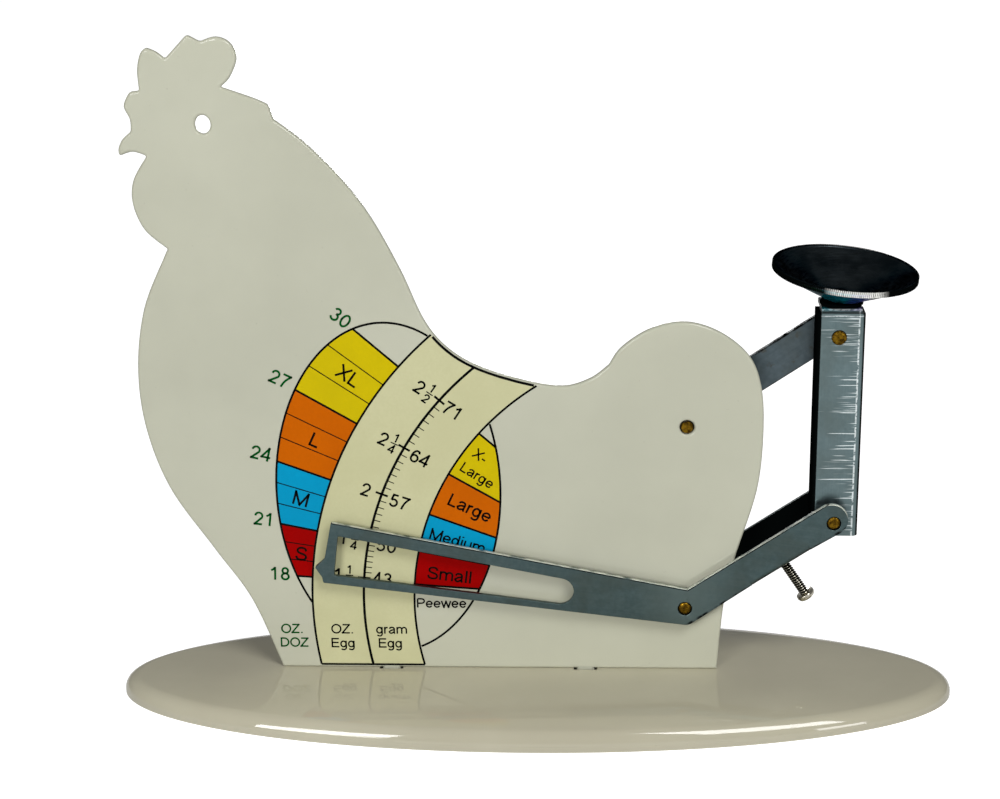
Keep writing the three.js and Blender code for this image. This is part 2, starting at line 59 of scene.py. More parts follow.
floor_white = (0.5, 0.5, 0.5, 1)
full_white = (1, 1, 1, 1)
under_foot = (1 / 0.109, 1 / 0.0355, 0)
lamp_aim = Vector((0, 0, 0.08))


def add_node(tree, kind, inputs=None, **settings):
    """A node with its settings, and its sockets given a value or linked to another node's output."""
    made = tree.nodes.new(kind)
    for name, value in settings.items():
        setattr(made, name, value)
    for name, value in (inputs or {}).items():
        if isinstance(value, bpy.types.NodeSocket):
            tree.links.new(value, made.inputs[name])
        else:
            made.inputs[name].default_value = value
    return made


def combine(tree, operation, first, *others):
    """One value from several, two at a time: by their product, their sum, or the most of them."""
    for other in others:
        first = add_node(tree, "ShaderNodeMath", {0: first, 1: other}, operation=operation).outputs[0]
    return first


def vector_step(tree, operation, *vectors):
    """A step of vector maths: a vector, or the number of a length or a dot product."""
    made = add_node(tree, "ShaderNodeVectorMath", dict(enumerate(vectors)), operation=operation)
    return made.outputs["Value" if operation in ("LENGTH", "DOT_PRODUCT") else "Vector"]


def spread(tree, value, low, high, start=0.0, end=1.0, **settings):
    """A number that runs from low to high while a value runs from its start to its end."""
    return add_node(tree, "ShaderNodeMapRange", {
        "Value": value, "From Min": start, "From Max": end, "To Min": low, "To Max": high},
        **settings).outputs[0]


def start_tree(owner):
    """The emptied node tree of a material or a world."""
    owner.use_nodes = True
    owner.node_tree.nodes.clear()
    return owner.node_tree


def start_material(name):
    """An empty material, its tree and its object coordinates."""
    material = bpy.data.materials.new(name)
    tree = start_tree(material)
    return material, tree, add_node(tree, "ShaderNodeTexCoord").outputs["Object"]


def seen_directly(tree, shine):
    """1 for rays from the camera or through a clear surface, and a share of it for reflections."""
    rays = add_node(tree, "ShaderNodeLightPath").outputs
    mirrored = combine(tree, "MULTIPLY", rays["Is Glossy Ray"], shine)
    return combine(tree, "MAXIMUM", rays["Is Camera Ray"], mirrored, rays["Is Transmission Ray"])


surround = bpy.data.worlds.new("surround")
scene.world = surround
tree = start_tree(surround)
surround_light = spread(tree, seen_directly(tree, surround_shine), surround_level, 1.0)
backdrop = add_node(tree, "ShaderNodeBackground", {"Color": full_white, "Strength": surround_light})
add_node(tree, "ShaderNodeOutputWorld", {"Surface": backdrop.outputs[0]})

floor_mesh = bpy.data.meshes.new("floor")
floor_corners = [(-1, -1), (1, -1), (1, 1), (-1, 1)]
floor_mesh.from_pydata([(x * floor_reach, y * floor_reach, 0) for x, y in floor_corners], [], [(0, 1, 2, 3)])
floor = bpy.data.objects.new("floor", floor_mesh)
scene.collection.objects.link(floor)
floor_paint, tree, place = start_material("floor_paint")
from_middle = vector_step(tree, "LENGTH", vector_step(tree, "MULTIPLY", place, under_foot))
floor_level = combine(tree, "MULTIPLY", seen_directly(tree, floor_shine), combine(
    tree, "MULTIPLY", combine(tree, "GREATER_THAN", from_middle, 1.0), floor_glow))
floor_light = add_node(tree, "ShaderNodeEmission", {"Color": full_white, "Strength": floor_level})
floor_matt = add_node(tree, "ShaderNodeBsdfDiffuse", {"Color": floor_white})
floor_both = add_node(tree, "ShaderNodeAddShader", {0: floor_light.outputs[0], 1: floor_matt.outputs[0]})
add_node(tree, "ShaderNodeOutputMaterial", {"Surface": floor_both.outputs[0]})
floor_mesh.materials.append(floor_paint)

for name, spot, size, power in (
        ("key_lamp", (-0.5, -1.05, 0.4), 0.42, 6.0), ("side_lamp", (0.8, -1.0, 0.22), 0.3, 1.7),
        ("fill_lamp", (0.35, -0.6, 0.75), 0.42, 4.9), ("rear_lamp", (0.0, 1.3, 0.12), 0.2, 4.0)):
    lamp_data = bpy.data.lights.new(name, "AREA")
    lamp_data.size = size
    lamp_data.energy = power
    lamp = bpy.data.objects.new(name, lamp_data)
    lamp.location = spot
    lamp.rotation_euler = (lamp_aim - Vector(spot)).to_track_quat("-Z", "Y").to_euler()
    lamp.visible_camera = False
    scene.collection.objects.link(lamp)

camera_data = bpy.data.cameras.new("camera")
camera_data.sensor_width = 36.0
camera_data.lens = camera_lens
camera_data.shift_x = camera_shift
camera = bpy.data.objects.new("camera", camera_data)
camera.location = Vector(camera_place) * mm
camera.rotation_euler = (math.radians(90 - camera_drop), 0, math.radians(camera_swing))
scene.collection.objects.link(camera)
scene.camera = camera


# Foot: an oval pressed from 1.2 mm sheet with its edge rolled down, open beneath, with two slots
# for the tabs of the hen plate. It is coated all over in glossy cream enamel.
foot_length = 222.5
foot_width = 75.4
foot_height = 4.5
foot_sheet = 1.2
foot_roll = 3.6
foot_crown = 4.4
foot_steps = 256
roll_steps = 10
plate_length = 164.0
beak_reach = 104.4
tab_width = 4.8
tab_centres = (plate_length * 0.395 - beak_reach, plate_length * 0.716 - beak_reach)
tab_play = 0.3
slot_play = 0.8
plate_front = 3.0
plate_back = 5.0


def oval_ring(inset, height):
    """Points round the foot at one distance inside its outline."""
    ring = []
    for step in range(foot_steps):
        angle = 2 * math.pi * step / foot_steps
        side = Vector((math.cos(angle) * foot_width, math.sin(angle) * foot_length)).normalized()
        ring.append(Vector((
            math.cos(angle) * foot_length / 2 - side.x * inset,
            math.sin(angle) * foot_width / 2 - side.y * inset, height)))
    return ring


def tab_slot(centre, height):
    """Corners of one tab slot at one height."""
    reach = tab_width / 2 + slot_play
    front = plate_front - slot_play
    back = plate_back + tab_play
    corners = ((-reach, front), (reach, front), (reach, back), (-reach, back))
    return [Vector((centre + x, y, height)) for x, y in corners]


def loft(rings, holes=(), flat=(0, 2)):
    """Closed mesh data: a chain of rings and its holes, capped at both ends across two flat axes."""
    points = []
    faces = []
    ends = []
    for chain in (rings, *holes):
        count = len(chain[0])
        start = len(points)
        for ring in chain:
            points.extend(ring)
        for first in range(start, len(points) - count, count):
            for step in range(count):
                after = (step + 1) % count
                faces.append((first + step, first + after, first + count + after, first + count + step))
        ends.append((range(start, start + count), range(len(points) - count, len(points))))
    for loops in zip(*ends):
        index = [number for loop in loops for number in loop]
        level = [[Vector((*(points[number][axis] for axis in flat), 0)) for number in loop] for loop in loops]
        faces.extend(tuple(index[corner] for corner in triangle) for triangle in tessellate_polygon(level))
    return points, faces


def make_piece(name, solid, material, body, nodes=(), sharp=38):
    """A piece from mesh data in millimetres: faces turned outwards, shaded, riding on its body."""
    points, faces = solid
    mesh = bpy.data.meshes.new(name)
    mesh.from_pydata([Vector(point) * mm for point in points], [], faces)
    shape = bmesh.new()
    shape.from_mesh(mesh)
    bmesh.ops.remove_doubles(shape, verts=shape.verts, dist=1e-7)
    bmesh.ops.dissolve_degenerate(shape, edges=shape.edges, dist=1e-7)
    bmesh.ops.recalc_face_normals(shape, faces=shape.faces)
    shape.to_mesh(mesh)
    shape.free()
    return dress(bpy.data.objects.new(name, mesh), material, body, nodes, sharp)


def dress(piece, material, body, nodes=(), sharp=38):
    """Shading, material and frame calls of a piece whose mesh is in place."""
    scene.collection.objects.link(piece)
    mesh = piece.data
    mesh.materials.clear()
    mesh.materials.append(material)
    mesh.shade_smooth()
    mesh.set_sharp_from_angle(angle=math.radians(sharp))
    weighting = piece.modifiers.new("even_shading", "WEIGHTED_NORMAL")
    weighting.keep_sharp = True
    weighting.weight = 50
    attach(piece, body)
    if nodes:
        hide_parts(*nodes)
    return piece


def noise_group(name, stretched, detail, roughness):
    """Shader group for a mask that goes from none to full between two levels of a noise."""
    tree = bpy.data.node_groups.new(name, "ShaderNodeTree")
    scale_kind = "NodeSocketVector" if stretched else "NodeSocketFloat"
    for label, kind in (("Vector", "NodeSocketVector"), ("Per Metre", scale_kind),
                        ("From", "NodeSocketFloat"), ("To", "NodeSocketFloat")):
        tree.interface.new_socket(label, in_out="INPUT", socket_type=kind)
    tree.interface.new_socket("Mask", in_out="OUTPUT", socket_type="NodeSocketFloat")
    given = tree.nodes.new("NodeGroupInput").outputs
    place, scale = given["Vector"], given["Per Metre"]
    if stretched:
        place, scale = vector_step(tree, "MULTIPLY", place, scale), 1.0
    noise = add_node(tree, "ShaderNodeTexNoise", {
        "Vector": place, "Scale": scale, "Detail": detail, "Roughness": roughness}).outputs["Fac"]
    add_node(tree, "NodeGroupOutput", {"Mask": spread(
        tree, noise, 0.0, 1.0, given["From"], given["To"], interpolation_type="SMOOTHSTEP")})
    return tree


# Clouds are even all ways; drawn lines are stretched by a frequency for each axis, as brushing is
clouds = noise_group("clouds", False, 5.0, 0.55)
drawn = noise_group("drawn_lines", True, 3.0, 0.6)


def use_group(tree, group, place, per_metre, start=0.35, end=0.65):
    """A group placed in a material; gives its mask."""
    return add_node(tree, "ShaderNodeGroup", {
        "Vector": place, "Per Metre": per_metre, "From": start, "To": end}, node_tree=group).outputs["Mask"]


def blend_colours(tree, mask, first, second, amount=1.0):
    """Colour that runs from the first to the second with a mask."""
    first, second = (
        colour if isinstance(colour, bpy.types.NodeSocket) else (*colour, 1) for colour in (first, second))
    return add_node(tree, "ShaderNodeMix", {
        "Factor": combine(tree, "MULTIPLY", mask, amount), 6: first, 7: second}, data_type="RGBA").outputs[2]


def end_material(tree, inputs):
    """The shader that carries a material's colour, roughness and normal, and its output."""
    shader = add_node(tree, "ShaderNodeBsdfPrincipled", inputs)
    add_node(tree, "ShaderNodeOutputMaterial", {"Surface": shader.outputs[0]})


def bump(tree, height, distance, strength, **settings):
    """Normal from a height mask, its full height given in millimetres."""
    return add_node(tree, "ShaderNodeBump", {
        "Height": height, "Distance": distance * mm, "Strength": strength, **settings}).outputs[0]


def make_enamel(name, light, shade, gloss, haze, swell=(0, 0, 0)):
    """Fired enamel: two close creams in soft clouds, a few specks, a slight orange peel and swell."""
    material, tree, place = start_material(name)
    drift = use_group(tree, clouds, place, 14.0)
    speck = use_group(tree, clouds, place, 900.0, 0.7, 0.76)
    peel = use_group(tree, clouds, place, 420.0, 0.2, 0.8)
    colour = blend_colours(tree, drift, light, shade)
    colour = blend_colours(tree, speck, colour, (0.3, 0.27, 0.2), 0.25)
    rise = vector_step(tree, "MULTIPLY", place, swell)
    rise = vector_step(tree, "DOT_PRODUCT", rise, rise)
    rise = combine(tree, "MULTIPLY", rise, rise)
    broad = add_node(tree, "ShaderNodeBump", {"Height": rise, "Distance": 1.0}, invert=True).outputs[0]
    end_material(tree, {
        "Base Color": colour, "Roughness": spread(tree, drift, *haze), "Specular IOR Level": gloss,
        "Normal": bump(tree, peel, 0.003, 0.6, Normal=broad)})
    return material


foot_enamel = make_enamel(
    "foot_enamel", (0.55, 0.52, 0.392), (0.495, 0.465, 0.348), 0.75, (0.03, 0.05), (1.0, 7.2, 0))
foot_rings = []
for sheet in (0, foot_sheet):
    foot_rings.append([oval_ring(sheet, 0)])
    for step in range(roll_steps + 1):
        turn = math.pi / 2 * step / roll_steps
        foot_rings[-1].append(oval_ring(
            sheet + (foot_crown - sheet) * (1 - math.cos(turn)),
            foot_height - sheet - (foot_roll - sheet) * (1 - math.sin(turn))))
foot_slots = [[tab_slot(centre, foot_height - sheet) for sheet in (0, foot_sheet)] for centre in tab_centres]
foot_shell = loft(foot_rings[0][::-1] + foot_rings[1], foot_slots, (0, 1))
make_piece("foot", foot_shell, foot_enamel, "root", ("base",))


# Hen plate: the hen's outline cut from 2 mm sheet, with an eye hole, two pivot holes and two tabs
# pushed through the foot. Its edges are rounded by the cream enamel that covers it.
plate_height = 170.5
plate_edge = 0.7
edge_steps = 4
outline_facet = 0.7
tab_depth = 2.6
eye_size = (3.9, 4.7)
eye_share = (0.132, 0.869)
pivot_spacing = 49.7
lower_pivot = (plate_length * 0.878 - beak_reach, foot_height + plate_height * 0.1126)
upper_pivot = (lower_pivot[0], lower_pivot[1] + pivot_spacing)
pin_hole = 1.9
hen_shares = (
    ((0.215, 0), (0.169, 0.115), (0.113, 0.199), (0.047, 0.299), (0.014, 0.397), (0.007, 0.493),
     (0.023, 0.588), (0.06, 0.669), (0.067, 0.681)),
    ((0.067, 0.681), (0.033, 0.71), (0.017, 0.749), (0.02, 0.785), (0.043, 0.822)),
    ((0.043, 0.822), (0.022, 0.828), (0.002, 0.822)),
    ((0.002, 0.822), (0, 0.831), (0.007, 0.846), (0.021, 0.858)),
    ((0.021, 0.858), (0.021, 0.876), (0.013, 0.894), (0.017, 0.907), (0.024, 0.917)),
    ((0.024, 0.917), (0.038, 0.918)),
    ((0.038, 0.918), (0.037, 0.949), (0.043, 0.972), (0.052, 0.981)),
    ((0.052, 0.981), (0.067, 0.975), (0.08, 0.965)),
    ((0.08, 0.965), (0.115, 1)),
    ((0.115, 1), (0.134, 0.99)),
    ((0.134, 0.99), (0.158, 0.997), (0.179, 0.989), (0.189, 0.967), (0.177, 0.938), (0.162, 0.924)),
    ((0.162, 0.924), (0.193, 0.914), (0.216, 0.906), (0.234, 0.898)),
    ((0.234, 0.898), (0.24, 0.877)),
    ((0.24, 0.877), (0.288, 0.841), (0.34, 0.789), (0.384, 0.731), (0.428, 0.65), (0.462, 0.574),
     (0.495, 0.532), (0.542, 0.502), (0.613, 0.479), (0.679, 0.469), (0.723, 0.481), (0.753, 0.503)),
    ((0.753, 0.503), (0.773, 0.531), (0.818, 0.56), (0.872, 0.571), (0.926, 0.556), (0.973, 0.52),
     (0.994, 0.473), (1, 0.401), (0.992, 0.303), (0.959, 0.189), (0.942, 0.109), (0.933, 0)),
)


def on_plate(share):
    """Place on the hen plate, as X and Z, of a share of its length and height."""
    return Vector((plate_length * share[0] - beak_reach, foot_height + plate_height * share[1]))


def smooth_row(row, facet_length=outline_facet):
    """Even short facets on a smooth curve through a row of points, without the last point."""
    if len(row) == 2:
        return [row[0]]
    fine = []
    for number in range(len(row) - 1):
        before, start, end = row[max(number - 1, 0)], row[number], row[number + 1]
        after = row[min(number + 2, len(row) - 1)]
        for step in range(24):
            t = step / 24
            fine.append(start + t / 2 * (
                (end - before) + t * (2 * before - 5 * start + 4 * end - after)
                + t * t * (3 * (start - end) + after - before)))
    fine.append(row[-1])
    lengths = [0.0]
    for first, second in zip(fine, fine[1:]):
        lengths.append(lengths[-1] + (second - first).length)
    facets = max(2, round(lengths[-1] / facet_length))
    even = []
    index = 0
    for facet in range(facets):
        wanted = lengths[-1] * facet / facets
        while lengths[index + 1] < wanted:
            index += 1
        share = (wanted - lengths[index]) / (lengths[index + 1] - lengths[index])
        even.append(fine[index].lerp(fine[index + 1], share))
    return even


def ease_corners(row, reach=0.8, least=math.radians(20)):
    """The row of points with a small curve in place of each sharp corner."""
    eased = [row[0]]
    for before, point, after in zip(row, row[1:], row[2:]):
        back = before - point
        onward = after - point
        if math.pi - back.angle(onward) < least:
            eased.append(point)
            continue
        start = point + back * min(0.9, reach / back.length)
        end = point + onward * min(0.9, reach / onward.length)
        for step in range(5):
            share = step / 4
            eased.append(start.lerp(point, share).lerp(point.lerp(end, share), share))
    return [*eased, row[-1]]


def oval_hole(centre, width, height, count=48):
    """Points round an oval in the plate's plane."""
    turns = [2 * math.pi * step / count for step in range(count)]
    return [Vector((
        centre[0] + width / 2 * math.cos(turn), centre[1] + height / 2 * math.sin(turn))) for turn in turns]


def shrink(loop, distance):
    """A loop moved to its left by a distance: inwards for an outline that runs anticlockwise."""
    moved = []
    for before, point, after in zip([loop[-1], *loop], loop, [*loop[1:], loop[0]]):
        first = (point - before).normalized()
        second = (after - point).normalized()
        left = Vector((-first.y - second.y, first.x + second.x))
        scale = distance / max(0.35, 1 + first.dot(second))
        moved.append(point + left * scale)
    return moved


def pressed_sheet(outline, holes, front, back, edge):
    """Sheet between two depths with rounded edges; the outline runs anticlockwise, holes clockwise."""
    turns = [math.pi / 2 * step / edge_steps for step in range(edge_steps + 1)]
    rounding = [(edge * (1 - math.sin(turn)), edge * (1 - math.cos(turn))) for turn in turns]
    profile = [(inset, front + depth) for inset, depth in rounding]
    profile += [(inset, back - depth) for inset, depth in reversed(rounding)]
    chains = []
    for loop in (outline, *holes):
        chains.append([
            [Vector((point.x, depth, point.y)) for point in shrink(loop, inset)] for inset, depth in profile])
    return loft(chains[0], chains[1:])


def pin_holes(*centres):
    """Clockwise rims of pivot holes in a sheet."""
    return [oval_hole(centre, 2 * pin_hole, 2 * pin_hole)[::-1] for centre in centres]


hen_outline = []
for row in hen_shares:
    hen_outline.extend(smooth_row([on_plate(share) for share in row]))
hen_outline = ease_corners([*hen_outline, on_plate(hen_shares[-1][-1])])
for centre in reversed(tab_centres):
    for side, depth in ((1, 0), (1, tab_depth), (-1, tab_depth), (-1, 0)):
        hen_outline.append(Vector((centre + side * tab_width / 2, foot_height - depth)))
hen_outline.reverse()
plate_enamel = make_enamel("plate_enamel", (0.55, 0.555, 0.44), (0.5, 0.505, 0.4), 0.4, (0.1, 0.16))
plate_holes = [oval_hole(on_plate(eye_share), *eye_size)[::-1], *pin_holes(lower_pivot, upper_pivot)]
hen_sheet = pressed_sheet(hen_outline, plate_holes, plate_front, plate_back, plate_edge)
make_piece("hen_plate", hen_sheet, plate_enamel, "root", ("body_plate",))


# Dial: printed on the plate in thin glossy inks. Everything is laid out round the lower pivot: a pale
# band between two arcs, a scale line in it, and sectors of colour out to an upright oval.
ink_depth = 0.03
line_depth = 0.05
dial_centre = Vector(lower_pivot)
oval_centre = Vector((-39.0, 55.4))
oval_half = Vector((29.6, 46.15))
band_outer = 99.9
band_inner = 72.5
scale_reach = 86.1
band_foot = 5.4
band_head_inset = 0.55
saddle_end = 57
saddle_foot = 60
saddle_right = 20
grade_angles = (41.35, 30.3, 20.35, 11.75, 4.1)
gram_angles = (41.4, 30.6, 21.0, 12.05, 4.65)
thin_line = 0.28
firm_line = 0.56
scale_line = 0.68


def polar(reach, degrees):
    """Point on the dial by its distance and angle from the lower pivot, upwards from the left."""
    turn = math.radians(degrees)
    return dial_centre + reach * Vector((-math.cos(turn), math.sin(turn)))


def oval_reach(degrees, far):
    """Distance from the pivot to the near or far side of the oval along a line."""
    turn = math.radians(degrees)
    ray = Vector((-math.cos(turn) / oval_half.x, math.sin(turn) / oval_half.y))
    start = dial_centre - oval_centre
    start = Vector((start.x / oval_half.x, start.y / oval_half.y))
    middle = -ray.dot(start) / ray.dot(ray)
    half = math.sqrt(max(0.0, middle ** 2 - (start.dot(start) - 1) / ray.dot(ray)))
    return middle + half if far else middle - half


def angles_between(first, last, step=0.6):
    """Angles from the first to the last in even small steps."""
    count = max(1, round(abs(last - first) / step))
    return [first + (last - first) * number / count for number in range(count + 1)]


def ink_patch(loop, depth=ink_depth):
    """A closed thin slab of ink on the plate, from its outline."""
    return loft([[Vector((point.x, level, point.y)) for point in loop]
                 for level in (plate_front - depth, plate_front + 0.01)])


def ink_line(path, width):
    """A closed thin slab of ink that follows a path of points."""
    left = []
    right = []
    for number, point in enumerate(path):
        before = path[max(number - 1, 0)]
        after = path[min(number + 1, len(path) - 1)]
        along = (after - before).normalized()
        side = Vector((-along.y, along.x)) * width / 2
        left.append(point + side)
        right.append(point - side)
    return ink_patch(left + right[::-1], line_depth)


def gather(parts):
    """Several pieces of mesh data as one."""
    points = []
    faces = []
    for part_points, part_faces in parts:
        start = len(points)
        points.extend(part_points)
        faces.extend(tuple(start + corner for corner in face) for face in part_faces)
    return points, faces


def make_ink(name, colour, worn):
    """Screen-printed ink: its colour with a faint grain of the mesh and thinner patches."""
    material, tree, place = start_material(name)
    grain = use_group(tree, clouds, place, 1500.0, 0.3, 0.7)
    drift = use_group(tree, clouds, place, 60.0)
    tint = blend_colours(tree, drift, colour, worn, 0.6)
    tint = blend_colours(tree, grain, tint, worn, 0.35)
    end_material(tree, {
        "Base Color": tint, "Roughness": spread(tree, grain, 0.3, 0.42), "Specular IOR Level": 0.03,
        "Normal": bump(tree, grain, 0.004, 0.5)})
    return material


inks = {
    "cream": make_ink("cream_ink", (0.62, 0.61, 0.37), (0.56, 0.55, 0.32)),
    "yellow": make_ink("yellow_ink", (0.64, 0.5, 0.003), (0.57, 0.45, 0.004)),
    "orange": make_ink("orange_ink", (0.61, 0.125, 0.001), (0.53, 0.105, 0.001)),
    "blue": make_ink("blue_ink", (0.002, 0.33, 0.59), (0.003, 0.29, 0.52)),
    "red": make_ink("red_ink", (0.37, 0.0008, 0.0008), (0.3, 0.001, 0.001)),
    "black": make_ink("black_ink", (0.002, 0.002, 0.002), (0.005, 0.005, 0.004)),
    "green": make_ink("green_ink", (0.001, 0.085, 0.012), (0.003, 0.07, 0.012)),
}
top_edge = shrink(hen_outline, band_head_inset)
saddle = [point for point in top_edge
          if band_inner < (point - dial_centre).length < band_outer and point.y > oval_centre.y + 20
          and dial_centre.x - point.x > (point.y - dial_centre.y) / math.tan(math.radians(saddle_end))]
saddle.sort(key=lambda point: point.x)


def band_arc(reach):
    """An arc of the band, from its straight foot up to the saddle of the hen."""
    foot_turn = math.degrees(math.asin((band_foot - dial_centre.y) / reach))
    top = min(top_edge, key=lambda point: (
        abs((point - dial_centre).length - reach)
        + (0 if point.y > saddle_foot and point.x < saddle_right else 999)))
    top_turn = math.degrees(math.atan2(top.y - dial_centre.y, dial_centre.x - top.x))
    return [polar(reach, turn) for turn in angles_between(foot_turn, top_turn)]


def across_grade(reach, far, turns):
    """From the band out to one side of the oval: a line at one angle, or a loop round several."""
    outside = [polar(oval_reach(turn, far), turn) for turn in reversed(turns)]
    return [polar(reach, turn) for turn in turns] + outside


outer_arc = band_arc(band_outer)
inner_arc = band_arc(band_inner)[::-1]
band_sides = ((band_outer, True), (band_inner, False))
make_piece("dial_band", ink_patch(outer_arc + saddle + inner_arc), inks["cream"], "root")
for number, colour in enumerate(("yellow", "orange", "blue", "red")):
    turns = angles_between(grade_angles[number], grade_angles[number + 1])
    sectors = [ink_patch(across_grade(reach, far, turns)) for reach, far in band_sides]
    make_piece("dial_" + colour, gather(sectors), inks[colour], "root")

oval_path = oval_hole(oval_centre, 2 * oval_half.x, 2 * oval_half.y, 240)
left_oval = [point for point in oval_path if (point - dial_centre).length > band_outer]
right_oval = [point for point in oval_path[120:] + oval_path[:120]
              if (point - dial_centre).length < band_inner]
dial_paths = [
    (outer_arc, firm_line), (inner_arc, firm_line), (band_arc(scale_reach), scale_line), (saddle, scale_line),
    ([outer_arc[0], inner_arc[-1]], firm_line), (left_oval, firm_line), (right_oval, firm_line)]
for turn in grade_angles:
    dial_paths += [(across_grade(reach, far, [turn]), firm_line) for reach, far in band_sides]
for first, last in zip(grade_angles, grade_angles[1:]):
    for share in (1 / 3, 2 / 3):
        dial_paths.append((across_grade(band_outer, True, [first + (last - first) * share]), thin_line))
dial_lines = gather([ink_line(path, width) for path, width in dial_paths])
make_piece("dial_lines", dial_lines, inks["black"], "root")

# Graduations: geometry nodes put a bar on each point, long at the numbers and short at each gram
bars = bpy.data.node_groups.new("bars_on_points", "GeometryNodeTree")
bars.is_modifier = True
bars.interface.new_socket("Points", in_out="INPUT", socket_type="NodeSocketGeometry")
bars_size = bars.interface.new_socket("Bar Size", in_out="INPUT", socket_type="NodeSocketVector")
bars_material = bars.interface.new_socket("Bar Material", in_out="INPUT", socket_type="NodeSocketMaterial")
bars.interface.new_socket("Bars", in_out="OUTPUT", socket_type="NodeSocketGeometry")
bars_in = bars.nodes.new("NodeGroupInput").outputs
bar_shape = add_node(bars, "GeometryNodeMeshCube", {"Size": bars_in["Bar Size"]}).outputs[0]
bar_turn, bar_stretch = (add_node(
    bars, "GeometryNodeInputNamedAttribute", {"Name": label}, data_type="FLOAT_VECTOR").outputs[0]
    for label in ("turn", "stretch"))
bar_rotation = add_node(bars, "FunctionNodeEulerToRotation", {"Euler": bar_turn}).outputs[0]
bar_points = add_node(bars, "GeometryNodeMeshToPoints", {"Mesh": bars_in["Points"]}).outputs[0]
bar_copies = add_node(bars, "GeometryNodeInstanceOnPoints", {
    "Points": bar_points, "Instance": bar_shape, "Rotation": bar_rotation, "Scale": bar_stretch}).outputs[0]
bar_real = add_node(bars, "GeometryNodeRealizeInstances", {"Geometry": bar_copies}).outputs[0]
bar_finish = add_node(bars, "GeometryNodeSetMaterial", {
    "Geometry": bar_real, "Material": bars_in["Bar Material"]}).outputs[0]
add_node(bars, "NodeGroupOutput", {"Bars": bar_finish})


def bars_on_points(name, rows, size, material):
    """Object of one bar for each row of place, turn in radians and stretch, all in millimetres."""
    mesh = bpy.data.meshes.new(name)
    mesh.from_pydata([Vector(row[0]) * mm for row in rows], [], [])
    for label, column in (("turn", 1), ("stretch", 2)):
        values = mesh.attributes.new(label, "FLOAT_VECTOR", "POINT")
        for number, row in enumerate(rows):
            values.data[number].vector = row[column]
    holder = bpy.data.objects.new(name, mesh)
    scene.collection.objects.link(holder)
    modifier = holder.modifiers.new("bars", "NODES")
    modifier.node_group = bars
    modifier[bars_size.identifier] = Vector(size) * mm
    modifier[bars_material.identifier] = material
    solid = bpy.data.meshes.new_from_object(holder.evaluated_get(bpy.context.evaluated_depsgraph_get()))
    bpy.data.objects.remove(holder)
    solid.name = name
    return bpy.data.objects.new(name, solid)


def tick(turn, reach, length, width):
    """Row for one graduation across the scale line."""
    spot = polar(reach, turn)
    place = (spot.x, plate_front - line_depth / 2 + 0.005, spot.y)
    return place, (0, math.radians(turn), 0), (length, 1, width)


tick_rows = []
for first, last in zip(gram_angles, gram_angles[1:]):
    tick_rows += [tick(first + (last - first) * step / 7, scale_reach - 0.95, 1.9, 1) for step in range(1, 7)]
tick_rows += [tick(turn, scale_reach, 3.4, 2.3) for turn in gram_angles]
dial_ticks = bars_on_points("dial_ticks", tick_rows, (1, line_depth + 0.01, 0.26), inks["black"])
dress(dial_ticks, inks["black"], "root")


# Lettering in one width of line, as on a printing screen. A letter is its advance and its strokes, in
# shares of a figure's height; smooth strokes are curves or parts of ovals, and the rest straight runs.
stroke_share = 0.152
least_stroke = 0.42
sharp_turn = math.radians(35)
figure_height = 3.6


def bow(x, z, half_x, half_z, first, last):
    """Part of an oval from its centre, half axes and two angles, anticlockwise from the right."""
    steps = max(4, round(abs(last - first) / 18))
    turns = [math.radians(first + (last - first) * step / steps) for step in range(steps + 1)]
    return [(x + half_x * math.cos(turn), z + half_z * math.sin(turn)) for turn in turns]


def ring(x, z, half_x, half_z):
    """A whole oval, as two halves that overlap a little."""
    return [bow(x, z, half_x, half_z, -8, 188), bow(x, z, half_x, half_z, 172, 368)]


def flow(*row):
    """A smooth curve through a few points."""
    row = [Vector(point) for point in row]
    return [*smooth_row(row, 0.07), row[-1]]


